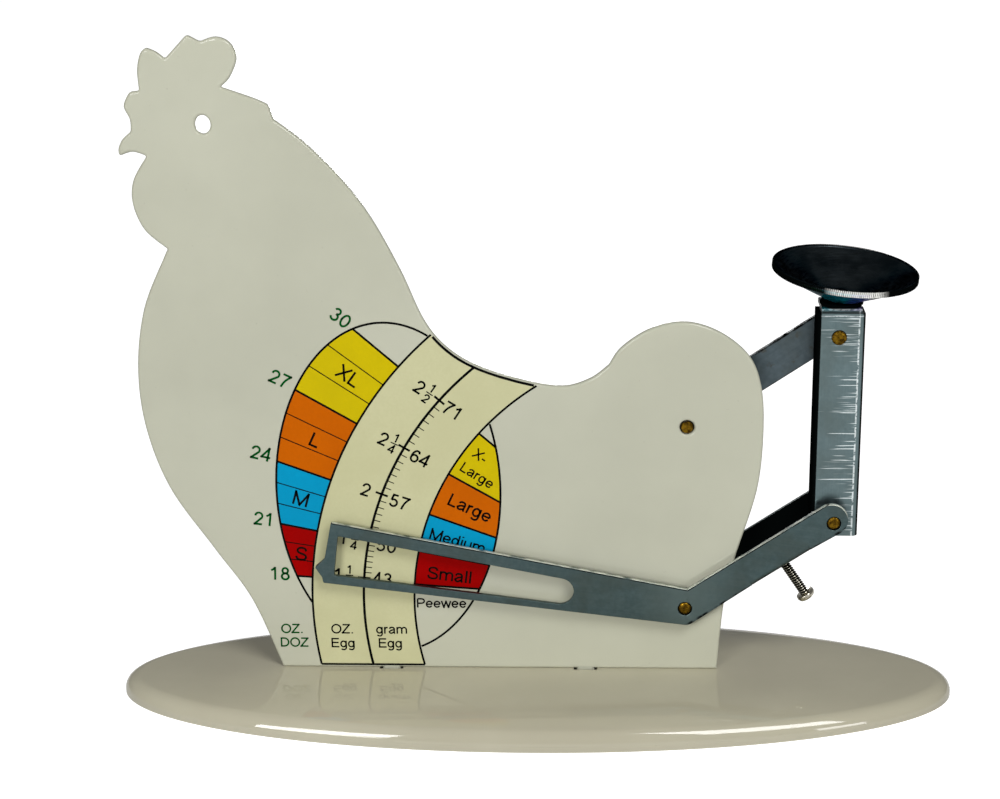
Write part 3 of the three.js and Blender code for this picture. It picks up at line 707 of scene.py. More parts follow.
letters = {
    "0": (0.777, ring(0.385, 0.5, 0.265, 0.44)),
    "1": (0.777, [[(0.15, 0.73), (0.3, 0.81), (0.43, 0.96)], [(0.43, 1), (0.43, 0)]]),
    "2": (0.777, [bow(0.385, 0.69, 0.25, 0.25, 180, -30) + [(0.13, 0.06), (0.65, 0.06)]]),
    "3": (0.777, [bow(0.37, 0.74, 0.21, 0.2, 165, -90), bow(0.37, 0.3, 0.25, 0.24, 90, -165)]),
    "4": (0.777, [[(0.52, 0), (0.52, 0.97), (0.07, 0.29), (0.7, 0.29)]]),
    "5": (0.777, [[(0.6, 0.94), (0.24, 0.94), (0.165, 0.5)], bow(0.37, 0.325, 0.26, 0.265, 140, -160)]),
    "6": (0.777, [*ring(0.395, 0.32, 0.25, 0.26), [*bow(0.43, 0.46, 0.285, 0.48, 190, 65), (0.62, 0.76)]]),
    "7": (0.777, [[(0.09, 0.94), (0.66, 0.94),
                   *flow((0.66, 0.94), (0.47, 0.66), (0.34, 0.36), (0.27, 0))[1:]]]),
    "8": (0.777, ring(0.385, 0.735, 0.2, 0.205) + ring(0.385, 0.285, 0.25, 0.235)),
    "X": (0.93, [[(0.07, 0), (0.85, 1)], [(0.85, 0), (0.08, 1)]]),
    "L": (0.777, [[(0.16, 1), (0.16, 0.06), (0.72, 0.06)]]),
    "M": (1.163, [[(0.13, 0), (0.13, 0.96), (0.58, 0.06), (1.03, 0.96), (1.03, 0)]]),
    "S": (0.93, [flow((0.78, 0.71), (0.7, 0.88), (0.47, 0.945), (0.23, 0.87), (0.17, 0.7), (0.28, 0.57),
                      (0.5, 0.5), (0.73, 0.41), (0.81, 0.25), (0.7, 0.09), (0.46, 0.045), (0.21, 0.11),
                      (0.11, 0.3))]),
    "O": (1.087, ring(0.545, 0.5, 0.44, 0.455)),
    "P": (0.93, [[(0.16, 0), (0.16, 0.94)],
                 [(0.16, 0.94), *bow(0.52, 0.7, 0.3, 0.24, 90, -90), (0.16, 0.46)]]),
    "Z": (0.853, [[(0.09, 0.94), (0.76, 0.94), (0.06, 0.06), (0.8, 0.06)]]),
    "E": (0.93, [[(0.86, 0.06), (0.16, 0.06), (0.16, 0.94), (0.84, 0.94)], [(0.16, 0.52), (0.8, 0.52)]]),
    "D": (1.008, [[(0.46, 0.06), (0.16, 0.06), (0.16, 0.94), (0.46, 0.94)],
                  bow(0.46, 0.5, 0.43, 0.44, 92, -92)]),
    "a": (0.777, [flow((0.13, 0.52), (0.2, 0.64), (0.38, 0.68), (0.54, 0.63), (0.6, 0.5), (0.6, 0.12),
                       (0.67, 0)),
                  flow((0.6, 0.42), (0.33, 0.37), (0.12, 0.2), (0.28, 0.04), (0.6, 0.2))]),
    "r": (0.465, [[(0.12, 0), (0.12, 0.72)], flow((0.12, 0.45), (0.22, 0.63), (0.42, 0.66))]),
    "g": (0.777, [*ring(0.35, 0.365, 0.255, 0.305),
                  flow((0.62, 0.72), (0.62, 0.3), (0.62, -0.02), (0.55, -0.19), (0.35, -0.25),
                       (0.13, -0.17))]),
    "e": (0.777, [[(0.11, 0.36), (0.67, 0.36)], bow(0.385, 0.36, 0.28, 0.305, 0, 325)]),
    "d": (0.777, [*ring(0.35, 0.36, 0.25, 0.305), [(0.63, 1), (0.63, 0)]]),
    "i": (0.31, [[(0.155, 0), (0.155, 0.72)], [(0.155, 0.9), (0.155, 1.02)]]),
    "u": (0.777, [flow((0.12, 0.72), (0.12, 0.25), (0.2, 0.09), (0.36, 0.05), (0.55, 0.12), (0.63, 0.3)),
                  [(0.63, 0.72), (0.63, 0)]]),
    "m": (1.163, [[(0.12, 0), (0.12, 0.72)],
                  flow((0.12, 0.48), (0.22, 0.63), (0.38, 0.67), (0.52, 0.6), (0.57, 0.44), (0.57, 0)),
                  flow((0.57, 0.48), (0.68, 0.63), (0.84, 0.67), (0.98, 0.6), (1.03, 0.44), (1.03, 0))]),
    "l": (0.31, [[(0.155, 0), (0.155, 1)]]),
    "w": (1.008, [[(0.05, 0.72), (0.28, 0.03), (0.5, 0.68), (0.73, 0.03), (0.96, 0.72)]]),
    ".": (0.388, [[(0.19, 0), (0.19, 0.13)]]),
    "-": (0.465, [[(0.05, 0.36), (0.41, 0.36)]]),
}


def stroke(path, width):
    """Slabs of ink along a path: one for each smooth run, drawn on by half a width at a sharp corner."""
    runs = [[path[0]]]
    for before, point, after in zip(path, path[1:], path[2:]):
        runs[-1].append(point)
        if (point - before).angle(after - point) > sharp_turn:
            runs.append([point])
    runs[-1].append(path[-1])
    for run, following in zip(runs, runs[1:]):
        run[-1] = run[-1] + (run[-1] - run[-2]).normalized() * width / 2
        following[0] = following[0] - (following[1] - following[0]).normalized() * width / 2
    return [ink_line(run, width) for run in runs]


def print_word(word, place, height, tilt):
    """A word on the dial, its middle at a place and its line turned down to the right by a tilt."""
    turn = Matrix.Rotation(-math.radians(tilt), 2)
    pen = -sum(letters[letter][0] for letter in word) / 2
    slabs = []
    for letter in word:
        advance, paths = letters[letter]
        for path in paths:
            spots = [place + turn @ (Vector((pen + x, z - 0.5)) * height) for x, z in path]
            slabs.extend(stroke(spots, max(least_stroke, stroke_share * height)))
        pen += advance
    return gather(slabs)


def print_fraction(whole, above, below, place, height, tilt):
    """A mixed number on the dial: a whole number and a small fraction with its bar."""
    turn = Matrix.Rotation(-math.radians(tilt), 2)
    parts = [print_word(whole, place + turn @ Vector((-0.42 * height, 0)), height, tilt)]
    for figure, rise in ((above, 0.46), (below, -0.46)):
        spot = place + turn @ Vector((0.42 * height, rise * height))
        parts.append(print_word(figure, spot, 0.68 * height, tilt))
    parts.append(ink_line([
        place + turn @ Vector((0.14 * height, 0)), place + turn @ Vector((0.7 * height, 0))], 0.3))
    return parts


black_words = []
for grams, reach, turn, tilt in (("71", 81.6, 41.5, 33), ("64", 81.1, 30.3, 27), ("57", 81.0, 20.7, 18),
                                 ("50", 81.2, 11.5, 11), ("43", 81.2, 4.7, 5)):
    black_words.append(print_word(grams, polar(reach, turn), figure_height, tilt))
for whole, above, below, reach, turn in (("2", "1", "2", 90.7, 41.1), ("2", "1", "4", 90.4, 30.3),
                                         ("1", "3", "4", 91.3, 11.5), ("1", "1", "2", 91.6, 4.9)):
    black_words.extend(print_fraction(whole, above, below, polar(reach, turn), figure_height, turn * 0.85))
black_words.append(print_word("2", polar(90.4, 20.8), figure_height, 18))
for word, reach, turn, height in (
        ("XL", 108.5, 35.8, 3.8), ("L", 107.7, 25.2, 3.8), ("M", 106.0, 16.1, 3.8), ("S", 103.3, 7.7, 3.8),
        ("X-", 68.3, 37.6, 2.8), ("Large", 65.9, 33.4, 2.8), ("Large", 63.2, 25.4, 3.5),
        ("Medium", 63.1, 16.3, 3.1), ("Small", 63.4, 7.2, 3.5)):
    black_words.append(print_word(word, polar(reach, turn), height, turn))
for word, place in (
        ("OZ.", (-52.6, 15.8)), ("Egg", (-52.6, 11.7)), ("gram", (-39.3, 15.8)), ("Egg", (-39.8, 11.7)),
        ("Peewee", (-25.7, 23.5))):
    black_words.append(print_word(word, Vector(place), 2.7, 0))
green_words = []
for ounces, place, tilt in (("30", (-49.9, 102.8), 38), ("27", (-66.3, 86.3), 26), ("24", (-72.2, 65.8), 14),
                            ("21", (-72.3, 47.4), 7), ("18", (-68.8, 31.8), 2)):
    green_words.append(print_word(ounces, Vector(place), 3.7, tilt))
for word, place in (("OZ.", (-66.2, 15.8)), ("DOZ", (-65.8, 11.8))):
    green_words.append(print_word(word, Vector(place), 2.65, 0))
make_piece("dial_words_black", gather(black_words), inks["black"], "root")
make_piece("dial_words_green", gather(green_words), inks["green"], "root")


# Pins and spacers of the plate: a brass pin for the lever, a brass pin for the link, and between
# the sheets a brass washer, plated tubes and a retaining washer. All are turned, with broken edges.
pin_radius = 1.6
tube_radius = 3.5
tube_bore = 1.9
turned_sides = 48
cheek_front = -0.5
cheek_back = 0.75
rear_front = 15.2
rear_back = 16.45
link_front = 12.5
link_back = 14.0
running_gap = 0.2
head_dome = 0.12


def turned(profile, centre, sides=turned_sides, axis="Y"):
    """Closed mesh data turned about an axis through a centre, from a profile of radius and depth."""
    points = []
    faces = []
    starts = []
    for radius, depth in profile:
        starts.append((len(points), radius == 0))
        for step in range(1 if radius == 0 else sides):
            turn = 2 * math.pi * step / sides
            along, across = radius * math.cos(turn), radius * math.sin(turn)
            spot = Vector((along, depth, across)) if axis == "Y" else Vector((along, across, depth))
            points.append(Vector(centre) + spot)
    for (first, first_pole), (second, second_pole) in zip(starts, starts[1:]):
        for step in range(sides):
            after = (step + 1) % sides
            face = (first,) if first_pole else (first + step, first + after)
            face += (second,) if second_pole else (second + after, second + step)
            faces.append(face)
    return points, faces


def ring_profile(front, back, radius=tube_radius, bore=tube_bore, ease=0.2):
    """A closed profile of a washer or tube with eased edges."""
    return [(bore, front + ease), (bore + ease, front), (radius - ease, front), (radius, front + ease),
            (radius, back - ease), (radius - ease, back), (bore + ease, back), (bore, back - ease),
            (bore, front + ease)]


def make_metal(name, light, dark, grain, rough, grain_depth=0.004):
    """Turned metal: fine drawn grain and soft stains."""
    material, tree, place = start_material(name)
    lines = use_group(tree, drawn, place, grain, 0.3, 0.7)
    fine = use_group(tree, clouds, place, 2600.0, 0.3, 0.7)
    drift = use_group(tree, clouds, place, 90.0, 0.3, 0.7)
    colour = blend_colours(tree, lines, light, dark)
    colour = blend_colours(tree, fine, colour, dark, 0.35)
    colour = blend_colours(tree, drift, colour, dark, 0.4)
    end_material(tree, {
        "Base Color": colour, "Metallic": 1.0, "Roughness": spread(tree, lines, *rough),
        "Normal": bump(tree, lines, grain_depth, 0.6)})
    return material


def make_turned(body, rows):
    """Turned pieces on axes along Y, each with its node, centre, profile, and metal with its slot; the slot
    is not used.
    """
    for name, node, centre, profile, (material, slot) in rows:
        make_piece(name, turned(profile, (centre[0], 0, centre[1])), material, body, (node,))


brass = (make_metal(
    "brass_pin", (0.3, 0.17, 0.012), (0.03, 0.014, 0.002), (1100, 900, 1100), (0.3, 0.5), 0.04), "brass")
plain_zinc = (make_metal(
    "turned_zinc", (0.2, 0.23, 0.235), (0.11, 0.13, 0.135), (1200, 60, 1200), (0.3, 0.45)), "zinc_steel")
head_back = rear_back + running_gap
fork_pin = [
    (0, cheek_front), (pin_radius * 0.55, cheek_front + head_dome * 0.25),
    (pin_radius - 0.28, cheek_front + head_dome), (pin_radius, cheek_front + head_dome + 0.2),
    (pin_radius, head_back), (2.85, head_back), (3.0, head_back + 0.15), (3.0, head_back + 0.85),
    (2.8, head_back + 1.0), (0, head_back + 1.0)]
link_clip = ring_profile(link_back + running_gap, link_back + 1.0, 3.8)
make_turned("root", (
    ("lever_pin", "lower_pivot_pin", lower_pivot, fork_pin, brass),
    ("link_pin", "upper_pivot_pin", upper_pivot,
     [(0, 3.02), (1.1, 3.02), (1.45, 3.06), (1.6, 3.25), (1.6, 15.4), (1.4, 15.6), (0, 15.6)], brass),
    ("lever_washer", "lever_front_spacer", lower_pivot,
     ring_profile(cheek_back + running_gap, plate_front), brass),
    ("lever_tube", "lever_rear_spacer", lower_pivot,
     ring_profile(plate_back, rear_front - running_gap), plain_zinc),
    ("link_tube", "link_plate_spacer", upper_pivot,
     ring_profile(plate_back, link_front - running_gap), plain_zinc),
    ("link_clip", "link_plate_clip", upper_pivot, link_clip, plain_zinc)))


# Pointer lever: one sheet folded into a fork. Its front cheek runs on as the windowed pointer, a web
# joins it to the rear cheek below, and all of it is zinc plate that has gone an even blue-grey.
edge_round = 0.14
arm_length = 45.87
arm_edge = math.radians(33.9)
arm_top = 4.2
arm_foot = 4.6
arm_fold = 1.6
arm_sheet = 1.25
arm_lean = math.radians(1.7)
pin_along = arm_length * math.cos(arm_lean)
web_start = (plate_length * (0.959 - 0.878) + 2.2) / math.cos(arm_edge)
web_end = pin_along - math.hypot(6.25, 4.96) - 1
web_overlap = 1.0
web_edge = 0.02
screw_bore = 1.65
fold_edge = 4.2
elbow_share = 0.078
pointer_size = (98.4, 24.1)
tip_shares = ((-0.982, 0.353), (-1, 0.469), (-0.973, 0.573))
blade_top_share = (-0.952, 1)
blade_foot_share = (-0.979, 0.286)
window_top_share = (-0.935, 0.838)
window_foot_share = (-0.949, 0.373)
window_end_share = (-0.339, 0.199)
window_end_radius = 3.7
arm_pin = polar(arm_length, 180 - 32.2)


def on_arm(along, across, pivot=lower_pivot):
    """Place on an arm of the linkage, as X and Z, along and across its edges from its pivot."""
    return Vector(pivot) + Matrix.Rotation(arm_edge, 2) @ Vector((along, across))


def on_blade(share):
    """Place on the pointer, as X and Z, of a share of its reach and rise from the pivot."""
    return dial_centre + Vector((pointer_size[0] * share[0], pointer_size[1] * share[1]))


def sweep(centre, radius, first, last, steps=24):
    """Points on an arc between two angles, anticlockwise from the right."""
    turns = [first + (last - first) * step / steps for step in range(steps + 1)]
    return [Vector((
        centre[0] + radius * math.cos(turn), centre[1] + radius * math.sin(turn))) for turn in turns]


def rounded(corners, steps=6):
    """A loop through corners, each a point and the radius that rounds it."""
    loop = []
    for number, (point, radius) in enumerate(corners):
        if radius == 0:
            loop.append(point)
            continue
        back = (corners[number - 1][0] - point).normalized()
        ahead = (corners[(number + 1) % len(corners)][0] - point).normalized()
        half = back.angle(ahead) / 2
        centre = point + (back + ahead).normalized() * radius / math.sin(half)
        start = point + back * radius / math.tan(half) - centre
        end = point + ahead * radius / math.tan(half) - centre
        for step in range(steps + 1):
            loop.append(centre + start.lerp(end, step / steps).normalized() * radius)
    return loop


def fuse(solids, cutters=()):
    """Several closed solids joined into one, and cutters taken out of it."""
    blanks = []
    for points, faces in (*solids, *cutters):
        mesh = bpy.data.meshes.new("blank")
        mesh.from_pydata(points, [], faces)
        shape = bmesh.new()
        shape.from_mesh(mesh)
        bmesh.ops.remove_doubles(shape, verts=shape.verts, dist=1e-5)
        bmesh.ops.recalc_face_normals(shape, faces=shape.faces)
        shape.to_mesh(mesh)
        shape.free()
        blank = bpy.data.objects.new("blank", mesh)
        scene.collection.objects.link(blank)
        blanks.append(blank)
    for number, other in enumerate(blanks[1:], 1):
        step = blanks[0].modifiers.new("step", "BOOLEAN")
        step.operation = "UNION" if number < len(solids) else "DIFFERENCE"
        step.solver = "EXACT"
        step.object = other
    whole = bpy.data.meshes.new_from_object(blanks[0].evaluated_get(bpy.context.evaluated_depsgraph_get()))
    for blank in blanks:
        bpy.data.objects.remove(blank)
    return [vertex.co.copy() for vertex in whole.vertices], [tuple(face.vertices) for face in whole.polygons]


def bore(centre, radius, front, back, ease=0.12):
    """Cutter for a hole along Y whose edges are eased at both faces."""
    return turned([(0, front - 1), (radius + 1 + ease, front - 1), (radius, front + ease),
                   (radius, back - ease), (radius + 1 + ease, back + 1), (0, back + 1)],
                  (centre[0], 0, centre[1]))


def round_end(top, foot, pivot=lower_pivot, along=pin_along, way=arm_edge):
    """Round end of an arm, from its foot edge over to its top edge."""
    middle = on_arm(along, (top - foot) / 2, pivot)
    return sweep(middle, (top + foot) / 2, way - math.pi / 2, way + math.pi / 2)


def web_notch(edge):
    """Corners of the cheek's foot edge where the web takes its place."""
    return [on_arm(web_start, edge), on_arm(web_start, arm_fold - arm_foot),
            on_arm(web_end, arm_fold - arm_foot), on_arm(web_end, edge)]


def plain(points):
    """Points of a loop that keep their corners."""
    return [(point, 0) for point in points]


def folded_channel(left, right, foot, top, sheet, fold, outer_steps, inner_steps):
    """Section of a sheet folded up at both sides, anticlockwise from its top left corner."""
    left_fold = (left + fold, foot + fold)
    right_fold = (right - fold, foot + fold)
    return [
        Vector((left, top)), *sweep(left_fold, fold, math.pi, 1.5 * math.pi, outer_steps),
        *sweep(right_fold, fold, 1.5 * math.pi, 2 * math.pi, outer_steps), Vector((right, top)),
        Vector((right - sheet, top)), *sweep(right_fold, fold - sheet, 0, -math.pi / 2, inner_steps),
        *sweep(left_fold, fold - sheet, -math.pi / 2, -math.pi, inner_steps), Vector((left + sheet, top))]


def placed(matrix, solid):
    """Mesh data moved to its place by a matrix."""
    return [matrix @ point for point in solid[0]], solid[1]


def make_zinc(name, light, dark, turn, rough=(0.3, 0.42)):
    """Start of a zinc plated steel: even satin with a fine mottle, soft stains and faint drawn lines."""
    material, tree, place = start_material(name)
    along = add_node(tree, "ShaderNodeMapping", {
        "Vector": place, "Rotation": (0, math.radians(turn), 0)}).outputs[0]
    mottle = use_group(tree, clouds, place, 700.0, 0.3, 0.7)
    stains = use_group(tree, clouds, along, 75.0, 0.4, 0.66)
    lines = use_group(tree, drawn, along, (45, 900, 2300), 0.35, 0.72)
    stain_colour = [0.6 * share + 0.4 * brown for share, brown in zip(dark, (0.1, 0.1, 0.07))]
    colour = blend_colours(tree, mottle, light, dark, 0.45)
    colour = blend_colours(tree, stains, colour, stain_colour, 0.6)
    return material, tree, place, {
        "Base Color": blend_colours(tree, lines, colour, dark, 0.3), "Metallic": 1.0,
        "Roughness": spread(tree, mottle, *rough), "Normal": bump(tree, mottle, 0.002, 0.5)}


def band_mask(tree, place, way, low, high, soft=0.1):
    """1 between two distances along a direction, in millimetres, with soft sides."""
    level = vector_step(tree, "DOT_PRODUCT", place, way)
    rise = spread(tree, level, 0.0, 1.0, (low - soft) * mm, (low + soft) * mm)
    fall = spread(tree, level, 1.0, 0.0, (high - soft) * mm, (high + soft) * mm)
    return combine(tree, "MULTIPLY", rise, fall)


def tint(tree, inputs, mask, colour, amount=1.0):
    """A colour laid over a material's colour by a mask."""
    inputs["Base Color"] = blend_colours(tree, mask, inputs["Base Color"], colour, amount)


def blacken(tree, inputs, mask):
    """Black over a metal by a mask, without its metal and its gloss: used for painted shade, painted dark
    reflections and the black bands on the link's edges.
    """
    tint(tree, inputs, mask, (0.002, 0.003, 0.003))
    inputs["Metallic"] = spread(tree, mask, 1.0, 0.0)
    inputs["Specular IOR Level"] = spread(tree, mask, 0.5, 0.0)


left_to_right = (1, 0, 0)
front_to_back = (0, 1, 0)
upwards = (0, 0, 1)
beyond = 199
elbow_top = on_arm(elbow_share * arm_length, arm_top)
blade_top = on_blade(blade_top_share)
window_end = on_blade(window_end_share)
window_corners = [on_blade(window_top_share), on_blade(window_foot_share)]
window_turns = []
for corner, side in zip(window_corners, (-1, 1)):
    to_end = window_end - corner
    opening = side * math.acos(window_end_radius / to_end.length)
    window_turns.append(math.atan2(to_end.y, to_end.x) + opening + math.pi)
window_arc = sweep(window_end, window_end_radius, window_turns[1] - 2 * math.pi, window_turns[0])
pointer_window = rounded([(corner, 0.5) for corner in window_corners] + plain(window_arc))
web_and_end = web_notch(-fold_edge) + round_end(arm_top, arm_foot)
cheek_outline = rounded([
    (on_blade(blade_foot_share), 0.5), (on_arm(-0.04 * arm_length, -arm_foot), 3.0), *plain(web_and_end),
    (elbow_top, 1.0), (blade_top, 0.5), *((on_blade(share), 0.4) for share in reversed(tip_shares))])
rear_outline = round_end(arm_top, arm_foot, along=0, way=arm_edge + math.pi) + web_and_end
fork_holes = pin_holes(lower_pivot, arm_pin)
front_cheek = pressed_sheet(
    cheek_outline, [pointer_window[::-1], *fork_holes], cheek_front, cheek_back, edge_round)
rear_cheek = pressed_sheet(rear_outline, fork_holes, rear_front, rear_back, edge_round)
web_section = folded_channel(cheek_front, rear_back, 0, arm_fold + web_overlap, arm_sheet, arm_fold, 10, 4)
web_points, web_faces = pressed_sheet(web_section, [], web_start, web_end, web_edge)
along_arm = Matrix.Translation((lower_pivot[0], 0, lower_pivot[1])) @ Matrix.Rotation(-arm_edge, 4, "Y")
web_points = [along_arm @ Vector((depth, y, z - arm_foot)) for y, depth, z in web_points]
on_web = along_arm @ Matrix.Translation(((web_start + web_end) / 2, (cheek_front + rear_back) / 2, -arm_foot))
screw_hole = turned([(0, -2), (screw_bore, -2), (screw_bore, 3), (0, 3)], (0, 0, 0), 40, "Z")
lever_fork = fuse([front_cheek, rear_cheek, (web_points, web_faces)], [placed(on_web, screw_hole)])

lever_zinc, tree, place, inputs = make_zinc("lever_zinc", (0.09, 0.132, 0.135), (0.05, 0.083, 0.088), -8)
# Lighter band across the elbow, about the lower pivot.
lighter_about_pivot = band_mask(tree, place, left_to_right, lower_pivot[0] - 8, lower_pivot[0] + 9, 6)
tint(tree, inputs, lighter_about_pivot, (0.125, 0.17, 0.165), 0.7)
arm_way = Vector((-math.sin(arm_edge), 0, math.cos(arm_edge)))
arm_level = arm_way.dot((lower_pivot[0], 0, lower_pivot[1]))
blade_way = Vector((blade_top.y - elbow_top.y, 0, elbow_top.x - blade_top.x)).normalized()
blade_level = blade_way.dot((blade_top.x, 0, blade_top.y))
front_only = band_mask(tree, place, front_to_back, cheek_front - 1, cheek_back - 0.3)
on_pointer = band_mask(tree, place, left_to_right, -beyond, elbow_top.x, 0.2)
past_elbow = band_mask(tree, place, left_to_right, elbow_top.x, beyond, 0.2)
# Painted highlight along the top edges of the pointer and the arm, broken in patches, with a painted shade
# line just below it; and a painted highlight arc over the top of the round end.
edge_lines = []
for first, last in ((0.42, 0.14), (0.1, -0.3)):
    edge_parts = []
    for way, level, part in (
            (blade_way, blade_level, on_pointer), (arm_way, arm_level + arm_top, past_elbow)):
        edge_parts.append(combine(tree, "MULTIPLY", band_mask(
            tree, place, way, level - first, level - last, 0.05), part))
    edge_lines.append(combine(tree, "MULTIPLY", combine(tree, "MAXIMUM", *edge_parts), front_only))
edge_breakup = use_group(tree, clouds, place, 220.0, 0.3, 0.55)
end_centre = on_arm(pin_along, (arm_top - arm_foot) / 2)
from_end = vector_step(tree, "SUBTRACT", place, (end_centre.x * mm, 0, end_centre.y * mm))
from_end = vector_step(tree, "LENGTH", vector_step(tree, "MULTIPLY", from_end, (1, 0, 1)))
end_rim_highlight = combine(
    tree, "MULTIPLY", spread(tree, from_end, 0.0, 1.0, 4.14 * mm, 4.24 * mm), front_only,
    band_mask(tree, place, upwards, end_centre.y + 1.5, beyond, 1.0),
    band_mask(tree, place, left_to_right, end_centre.x - 2.4, beyond, 0.3))
painted_edge_highlight = combine(tree, "MAXIMUM", combine(tree, "MULTIPLY", edge_lines[1], edge_breakup), end_rim_highlight)
tint(tree, inputs, painted_edge_highlight, (0.75, 0.77, 0.66), 0.8)
# Painted shade: black between the cheeks inside the fork, along the fold under the arm, and in a thin line
# below the top edges.
fork_inside_shade = band_mask(tree, place, front_to_back, cheek_back - 0.02, rear_front + 0.1, 0.05)
fold_shade = combine(
    tree, "MULTIPLY", use_group(tree, clouds, place, 500.0, 0.3, 0.6),
    band_mask(tree, place, arm_way, arm_level - arm_foot - 1, arm_level - fold_edge + 0.35, 0.15))
edge_shade_line = combine(tree, "MULTIPLY", edge_lines[0], spread(tree, edge_breakup, 0.6, 1.0))
blacken(tree, inputs, combine(tree, "MAXIMUM", fork_inside_shade, fold_shade, edge_shade_line))
# The painted highlights are made less metal.
inputs["Metallic"] = combine(tree, "MULTIPLY", inputs["Metallic"], spread(tree, painted_edge_highlight, 1.0, 0.4))
end_material(tree, inputs)
make_piece("lever", lever_fork, lever_zinc, "lever", ("pointer_lever",))


# Adjusting screw: a pan head machine screw with rolled threads and a cross slot, through the web of
# the load arm, and the hexagon nut that holds it inside the arm. Both are plated and a little yellowed.
screw_radius = 1.35
thread_depth = 0.34
thread_pitch = 0.7
screw_length = 14.2
screw_inside = 5.0
head_radius = 2.5
head_height = 1.9
slot_width = 0.55
slot_depth = 1.0
screw_sides = 28
thread_steps = 8
thread_rows = round((screw_inside + screw_length - head_height) / thread_pitch * thread_steps)


def screw_ring(height, radii):
    """Points round the screw at one height, each with its radius."""
    ring = []
    for step, radius in enumerate(radii):
        turn = 2 * math.pi * step / screw_sides
        ring.append(Vector((radius * math.cos(turn), radius * math.sin(turn), height)))
    return ring


screw_rings = []
for row in range(thread_rows + 1):
    height = screw_inside - row * thread_pitch / thread_steps
    phases = [(height / thread_pitch + step / screw_sides) % 1.0 for step in range(screw_sides)]
    taper = min(1.0, row / thread_steps)
    screw_rings.append(screw_ring(height, [
        screw_radius - thread_depth * (1 - taper * (1 - abs(2 * phase - 1))) for phase in phases]))
head_top = head_height - screw_length
for share, drop in ((0.94, 0), (1, 0.15), (1, 0.9), (0.88, 1.45), (0.62, 1.78), (0.3, 1.9)):
    screw_rings.append(screw_ring(head_top - drop, [head_radius * share] * screw_sides))
slot_cuts = []
for reach_x, reach_y in ((1.7, slot_width / 2), (slot_width / 2, 1.7)):
    corners = ((-reach_x, -reach_y), (reach_x, -reach_y), (reach_x, reach_y), (-reach_x, reach_y))
    slot_cuts.append(loft([[Vector((x, y, head_top - head_height + depth)) for x, y in corners]
                           for depth in (-1, slot_depth)], flat=(0, 1)))
screw_solid = fuse([loft(screw_rings, flat=(0, 1))], slot_cuts)
screw_finish, tree, place = start_material("screw_plate")
place = add_node(tree, "ShaderNodeMapping", {
    "Vector": place, "Location": on_web.to_translation() * mm, "Rotation": on_web.to_euler()},
    vector_type="TEXTURE").outputs[0]
# Painted shade: the thread grooves are darkened to near black.
from_axis = vector_step(tree, "LENGTH", vector_step(tree, "MULTIPLY", place, (1, 1, 0)))
groove_shade = spread(tree, from_axis, 1.0, 0.0, (screw_radius - 0.22) * mm, (screw_radius - 0.1) * mm)
stain = use_group(tree, clouds, place, 800.0, 0.52, 0.62)
screw_colour = blend_colours(tree, stain, (0.6, 0.57, 0.47), (0.1, 0.09, 0.06), 0.8)
end_material(tree, {
    "Base Color": blend_colours(tree, groove_shade, screw_colour, (0.004, 0.004, 0.003)), "Metallic": 1.0,
    "Roughness": spread(tree, stain, 0.2, 0.4), "Normal": bump(tree, stain, 0.01, 0.5)})
make_piece("adjusting_screw_threaded", placed(on_web, screw_solid), screw_finish, "lever",
           ("adjusting_screw",), 50)
nut_profile = [(screw_bore, 0.3), (1.95, 0), (2.9, 0), (3.175, 0.35), (3.175, 1.85), (2.9, 2.2),
               (1.95, 2.2), (screw_bore, 1.9), (screw_bore, 0.3)]
nut_solid = turned(nut_profile, (0, 0, 1.55), 6, "Z")
make_piece("nut", placed(on_web, nut_solid), screw_finish, "lever", ("adjusting_nut",), 25)


# Upper link and counterweight: a plated strip behind the plate, with an arm to the post and an arm
# down to a turned iron slug that is riveted on and balances the pointer.
link_top = 4.5
link_foot = 5.2
weight_arm = 48
weight_turn = math.radians(32)
weight_radius = 13.5
weight_edge = 1.0
weight_back = link_back + 18
weight_spot = Vector(upper_pivot) - weight_arm * Vector((math.sin(weight_turn), math.cos(weight_turn)))
link_pin_spot = Vector(upper_pivot) + arm_pin - dial_centre
bar_half = (link_top + link_foot) / 2
weight_along = -math.pi / 2 - weight_turn
link_outline = round_end(link_top, link_foot, upper_pivot, 0, arm_edge + math.pi)
link_outline += round_end(link_top, link_foot, upper_pivot)
weight_outline = sweep(upper_pivot, bar_half, weight_along + math.pi / 2, weight_along + 1.5 * math.pi)
weight_outline += sweep(weight_spot, bar_half, weight_along - math.pi / 2, weight_along + math.pi / 2)
link_solid = fuse(
    [pressed_sheet(loop, [], link_front, link_back, edge_round) for loop in (link_outline, weight_outline)],
    [bore(centre, pin_hole, link_front, link_back) for centre in (upper_pivot, link_pin_spot, weight_spot)])
link_zinc, tree, place, inputs = make_zinc(
    "link_zinc", (0.1, 0.13, 0.145), (0.07, 0.095, 0.108), 34, (0.34, 0.46))
tint(tree, inputs, use_group(tree, clouds, place, 260.0, 0.6, 0.72), (0.075, 0.06, 0.035), 0.5)
